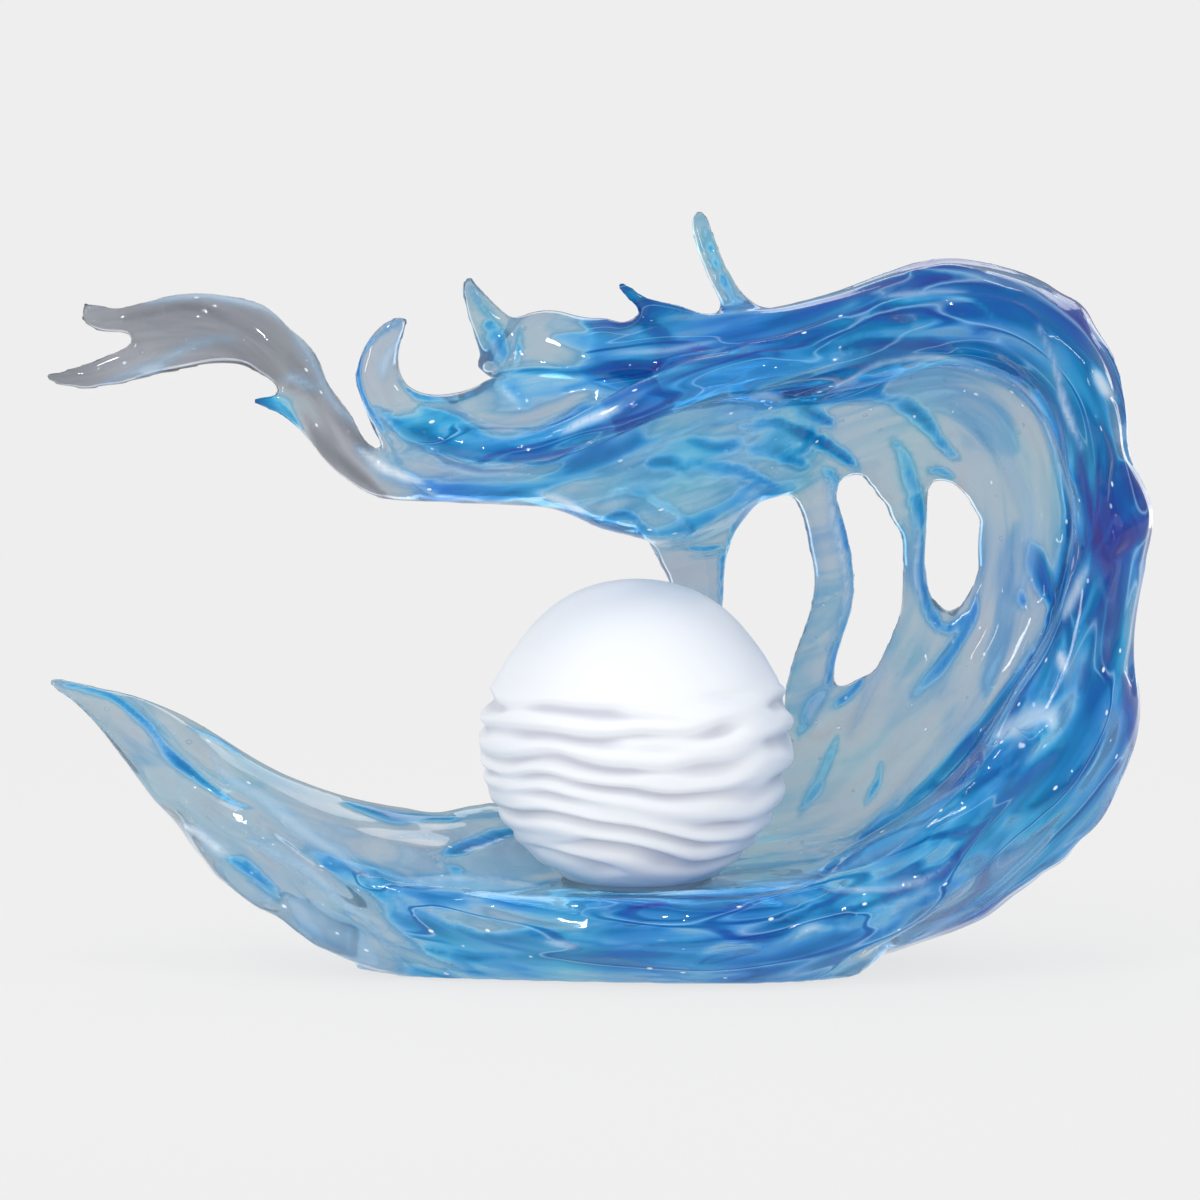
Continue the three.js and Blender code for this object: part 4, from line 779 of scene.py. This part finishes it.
# The polished face is not quite even: ripples of 200 by 19 mm and dimples of 22 by 9.5 mm,
# which show in the blue and not in the clear.
ripples = add(tree, "TexNoise", {}, {"Vector": drawn.outputs[0], "Scale": 0.55, "Detail": 2.0})
dimpled = add(tree, "Mapping", {}, {
    "Vector": place_read.outputs["Vector"], "Scale": repeats(22.2222, 9.52381, 9.52381),
})
dimples = add(tree, "TexNoise", {}, {"Vector": dimpled.outputs[0], "Scale": 1.0, "Detail": 1.0})
worn = add(tree, "Math", {"operation": "MULTIPLY_ADD"}, {
    0: dimples.outputs[0], 1: 0.28, 2: ripples.outputs[0],
})
grip = add(tree, "MapRange", {}, {0: level.outputs[0], 1: 0.1, 2: 0.6, 3: 0.0, 4: 0.32})
wavelets = add(tree, "Bump", {}, {
    "Strength": grip.outputs[0], "Distance": 4 * MM, "Height": worn.outputs[0],
})

# Painted glints: white dots about 3 by 2 mm that stand for sparks of light, strung along the current in
# swarms. Each lies in its own cell of 16 by 9 mm, and about one cell in five has none.
strung = add(tree, "Mapping", {}, {
    "Vector": place_read.outputs["Vector"], "Scale": repeats(16.129, 9.09091, 9.09091),
})
glint_cells = add(tree, "TexVoronoi", {}, {"Vector": strung.outputs[0], "Scale": 1.0})
glint_dot = add(tree, "MapRange", {"interpolation_type": "SMOOTHSTEP"}, {
    0: glint_cells.outputs["Distance"], 1: 0.07, 2: 0.13, 3: 1.0, 4: 0.0,
})
swarm = add(tree, "MapRange", {}, {0: swarms.outputs[0], 1: 0.42, 2: 0.50})
chance = add(tree, "SeparateColor", {}, {0: glint_cells.outputs["Color"]})
few = add(tree, "Math", {"operation": "GREATER_THAN"}, {0: chance.outputs[0], 1: 0.22})
kept = add(tree, "Math", {"operation": "MULTIPLY"}, {0: few.outputs[0], 1: swarm.outputs[0]})
painted_glint = add(tree, "Math", {"operation": "MULTIPLY"}, {0: glint_dot.outputs[0], 1: kept.outputs[0]})

# The colour: the batch, warmer and cooler in clouds of 60 mm, under painted highlights and pale milky
# patches.
spotted = add(tree, "Math", {"operation": "MAXIMUM"}, {
    0: sheen_read.outputs["Fac"], 1: painted_glint.outputs[0],
})
highlight_and_milk = add(tree, "Math", {"operation": "MAXIMUM"}, {0: spotted.outputs[0], 1: light_hair.outputs[0]})
object_place = add(tree, "TexCoord")
clouds = add(tree, "TexNoise", {}, {
    "Vector": object_place.outputs["Object"], "Scale": 16.0, "Detail": 1.0,
})
turned = add(tree, "MapRange", {}, {0: clouds.outputs[0], 1: 0.3, 2: 0.7, 3: 0.478, 4: 0.518})
tinged = add(tree, "HueSaturation", {}, {"Hue": turned.outputs[0], "Color": batch.outputs[0]})
# painted highlights: light blue where faint, white where strong, and less clear
whiter = add(tree, "ValToRGB", {}, {0: highlight_and_milk.outputs[0]})
blend(whiter.color_ramp, [(0.2, "#7CC4F2"), (0.9, "#F2F8FE")])
base_with_highlights = add(tree, "Mix", {"data_type": "RGBA"}, {
    0: highlight_and_milk.outputs[0], 6: tinged.outputs[0], 7: whiter.outputs[0],
})
body = add(tree, "MapRange", {}, {0: level.outputs[0], 1: 0.38, 2: 0.60, 3: 0.80, 4: 0.55})
see_through_share = add(tree, "MapRange", {}, {0: highlight_and_milk.outputs[0], 1: 0.0, 2: 1.0, 3: 1.0, 4: 0.3})
clarity = add(tree, "Math", {"operation": "MULTIPLY"}, {0: body.outputs[0], 1: see_through_share.outputs[0]})
surface = add(tree, "BsdfPrincipled", {}, {
    "Base Color": base_with_highlights.outputs[2], "Roughness": 0.035, "IOR": 1.25,
    "Coat Weight": 0.5, "Coat Roughness": 0.03, "Coat IOR": 1.5,
    "Transmission Weight": clarity.outputs[0], "Normal": wavelets.outputs[0],
})
depth = add(tree, "VolumeAbsorption", {}, {"Color": hue("#A6CFEA"), "Density": 1.3})
add(tree, "OutputMaterial", {}, {"Surface": surface.outputs[0], "Volume": depth.outputs[0]})
wave.data.materials.clear()
wave.data.materials.append(resin)
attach(wave, "wave")
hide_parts(*BLUE_DYE)

# The globe: white cast resin, tumbled to a fine matt. Its lower two thirds carry eight wavy
# ripples like wet sand, and it stands loose in the dish.
RIPPLE_PITCH = 13.2
RIPPLE_DEPTH = 5.6
FIRST_RIPPLE = 122.0  # height of the topmost over the lowest point of the globe
SHOULDER_LOSS = 3.6  # the globe is leaner by this above its ripples


def fade(low, high, value):
    """0 below low, 1 above high, and a smooth rise between them."""
    t = min(max((value - low) / (high - low), 0.0), 1.0)
    return t * t * (3 - 2 * t)


def pressed_in(d):
    """How far the globe lies inside its full round in one direction, in mm, and how hollow, which also
    sets the painted shade in its grooves.
    """
    height = GLOBE_RADIUS * (1 + d.z)
    upper = fade(-0.55, 0.1, d.z)
    # the ripples wander, rise to the right in the upper half and fall to it in the lower
    sway = 0.8 * noise.noise(d * 1.3 + Vector((3.1, 0.4, 7.7)))
    sway += 0.3 * noise.noise(Vector((d.x * 2.2, d.y * 2.2, d.z * 5.0)) + Vector((0, 5, 2)))
    sway += 0.9 * fade(0.05, 1.0, d.x) * upper - 0.7 * d.x * (1 - upper)
    turn = ((FIRST_RIPPLE - height) / RIPPLE_PITCH + sway) % 1.0
    groove = 1 - fade(0.0, 0.56, turn) + fade(0.64, 1.0, turn)
    # some run out, where two neighbours join
    where = Vector((d.x * 1.6, d.y * 1.6, d.z * 6.5)) + Vector((9, 1, 4))
    fork = fade(-0.34, 0.2, noise.noise(where))
    band = fade(9, 19, height) * (1 - fade(109, 123, height))
    shoulder = fade(104, 126, height) * (1 - fade(138, 172, height))
    hollow = groove * (0.15 + 0.85 * fork) * band
    return RIPPLE_DEPTH * hollow + SHOULDER_LOSS * shoulder, hollow


shape = bmesh.new()
bmesh.ops.create_icosphere(shape, subdivisions=7, radius=1)
hollows = shape.verts.layers.float.new("hollow")
for v in shape.verts:
    d = v.co.normalized()
    inward, v[hollows] = pressed_in(d)
    v.co = GLOBE + d * (GLOBE_RADIUS - inward) * MM
bmesh.ops.smooth_vert(
    shape, verts=shape.verts, factor=0.5, use_axis_x=True, use_axis_y=True, use_axis_z=True
)
globe = made("white_globe", shape)
for face in globe.data.polygons:
    face.use_smooth = True

# White resin with a fine matt tooth from the tumbler: no mirror in it, only a soft sheen. The grooves
# are painted a pale grey as shade, deepest where the ripples are deepest.
white_resin, tree = mixture("matt_white_resin")
hollow_read = add(tree, "Attribute", {"attribute_name": "hollow"})
# painted shade: the hollow of each groove turns the white towards grey
painted_groove_shade = add(tree, "ValToRGB", {}, {0: hollow_read.outputs["Fac"]})
blend(painted_groove_shade.color_ramp, [(0.35, "#F1F4F9"), (1.0, "#D2D4DE")])
surface = add(tree, "BsdfPrincipled", {}, {"Base Color": painted_groove_shade.outputs[0], "Roughness": 0.45, "IOR": 1.5})
add(tree, "OutputMaterial", {}, {"Surface": surface.outputs[0]})
globe.data.materials.append(white_resin)
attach(globe, "globe")
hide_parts("globe")

# The ring that the globe rests on and the six pads under the foot: clear silicone, moulded in a
# satin mould, so it is soft to look at and a little milky. They keep the meshes of the frame.
silicone, tree = mixture("clear_silicone")
surface = add(tree, "BsdfPrincipled", {}, {
    "Base Color": hue("#E9EEF2"), "Roughness": 0.3, "IOR": 1.41, "Transmission Weight": 0.85,
})
add(tree, "OutputMaterial", {}, {"Surface": surface.outputs[0]})
for name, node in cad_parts.items():
    if name.startswith(("seat_ring", "foot_pad")):
        node.data.materials.clear()
        node.data.materials.append(silicone)

# The studio: a pale paper floor, and a world of the same tone that the eye, the resin and its
# gloss see at full strength while it lights the object less.
PAPER = hue("#EEEEEE")
floor_shape = bmesh.new()
bmesh.ops.create_grid(floor_shape, x_segments=1, y_segments=1, size=30)
floor = made("studio_floor", floor_shape)
paper, tree = mixture("studio_paper")
light_path = add(tree, "LightPath")
looked_at = add(tree, "Math", {"operation": "MAXIMUM"}, {
    0: light_path.outputs["Is Camera Ray"], 1: light_path.outputs["Is Glossy Ray"],
})
seen_plain = add(tree, "Math", {"operation": "MAXIMUM"}, {
    0: looked_at.outputs[0], 1: light_path.outputs["Is Transmission Ray"],
})
# The shadow shows near the object, and further out the floor runs into the backdrop.
floor_place = add(tree, "TexCoord")
outward = add(tree, "VectorMath", {"operation": "LENGTH"}, {0: floor_place.outputs["Object"]})
blank = add(tree, "MapRange", {"interpolation_type": "SMOOTHSTEP"}, {
    0: outward.outputs["Value"], 1: 0.2, 2: 1.1, 3: 0.86, 4: 1.0,
})
share = add(tree, "Math", {"operation": "MULTIPLY"}, {0: seen_plain.outputs[0], 1: blank.outputs[0]})
matt = add(tree, "BsdfDiffuse", {}, {"Color": PAPER})
glow = add(tree, "Emission", {}, {"Color": PAPER, "Strength": 1.0})
both = add(tree, "MixShader", {}, {0: share.outputs[0], 1: matt.outputs[0], 2: glow.outputs[0]})
add(tree, "OutputMaterial", {}, {"Surface": both.outputs[0]})
floor.data.materials.append(paper)

world = bpy.data.worlds.new("studio")
bpy.context.scene.world = world
world.use_nodes = True
tree = world.node_tree
tree.nodes.clear()
light_path = add(tree, "LightPath")
seen_through = add(tree, "Math", {"operation": "MAXIMUM"}, {
    0: light_path.outputs["Is Camera Ray"], 1: light_path.outputs["Is Transmission Ray"],
})
dimmed = add(tree, "MapRange", {}, {0: light_path.outputs["Is Glossy Ray"], 3: 0.82, 4: 0.42})
soft = add(tree, "Background", {}, {"Color": PAPER, "Strength": dimmed.outputs[0]})
clear = add(tree, "Background", {}, {"Color": PAPER, "Strength": 1.0})
both = add(tree, "MixShader", {}, {0: seen_through.outputs[0], 1: soft.outputs[0], 2: clear.outputs[0]})
add(tree, "OutputWorld", {}, {"Surface": both.outputs[0]})


def softbox(name, place, size, power):
    """A flat lamp that faces the wave and isn't seen itself."""
    lamp = bpy.data.lights.new(name, "AREA")
    lamp.shape, lamp.size, lamp.size_y, lamp.energy = "RECTANGLE", size[0], size[1], power
    box = bpy.data.objects.new(name, lamp)
    box.location = place
    box.rotation_euler = (Vector((0, 0, 0.2)) - Vector(place)).to_track_quat("-Z", "Y").to_euler()
    bpy.context.scene.collection.objects.link(box)
    box.visible_camera = False
    return box


softbox("key_left", (-1.1, -1.3, 2.2), (0.22, 0.22), 6.5)
softbox("window_left", (-2.0, -0.9, 0.7), (0.16, 0.7), 5)
softbox("fill_right", (1.9, -1.3, 1.2), (0.22, 0.5), 5)
softbox("strip_top", (0.2, -0.1, 2.2), (0.8, 0.2), 8).visible_glossy = False
softbox("back_top", (0.0, 1.7, 1.25), (2.4, 0.5), 5)
softbox("back_left", (-1.15, 1.7, 0.35), (0.4, 1.1), 2)
softbox("back_right", (1.15, 1.7, 0.35), (0.4, 1.1), 2)
# Six small lamps for the sparks of light on the ridges.
SPARKS = [
    (-0.7, -1.9, 1.5), (1.1, -1.8, 1.3), (-0.2, -2.0, 0.9),
    (0.5, -1.5, 1.9), (-1.6, -1.5, 1.2), (1.9, -0.9, 1.7),
]
for turn, place in enumerate(SPARKS):
    softbox(f"spark_{turn}", place, (0.05, 0.05), 1.5)

# The camera stands where the strokes were laid out from, and frames 652 mm of the middle plane.
FRAME_WIDTH = 0.6522
lens = bpy.data.cameras.new("camera")
lens.sensor_width = 36
lens.lens = lens.sensor_width * EYE_DISTANCE / FRAME_WIDTH
camera = bpy.data.objects.new("camera", lens)
camera.location = EYE
camera.rotation_euler = (AIM - EYE).to_track_quat("-Z", "Y").to_euler()
bpy.context.scene.collection.objects.link(camera)
bpy.context.scene.camera = camera

bpy.context.scene.view_settings.view_transform = "Standard"
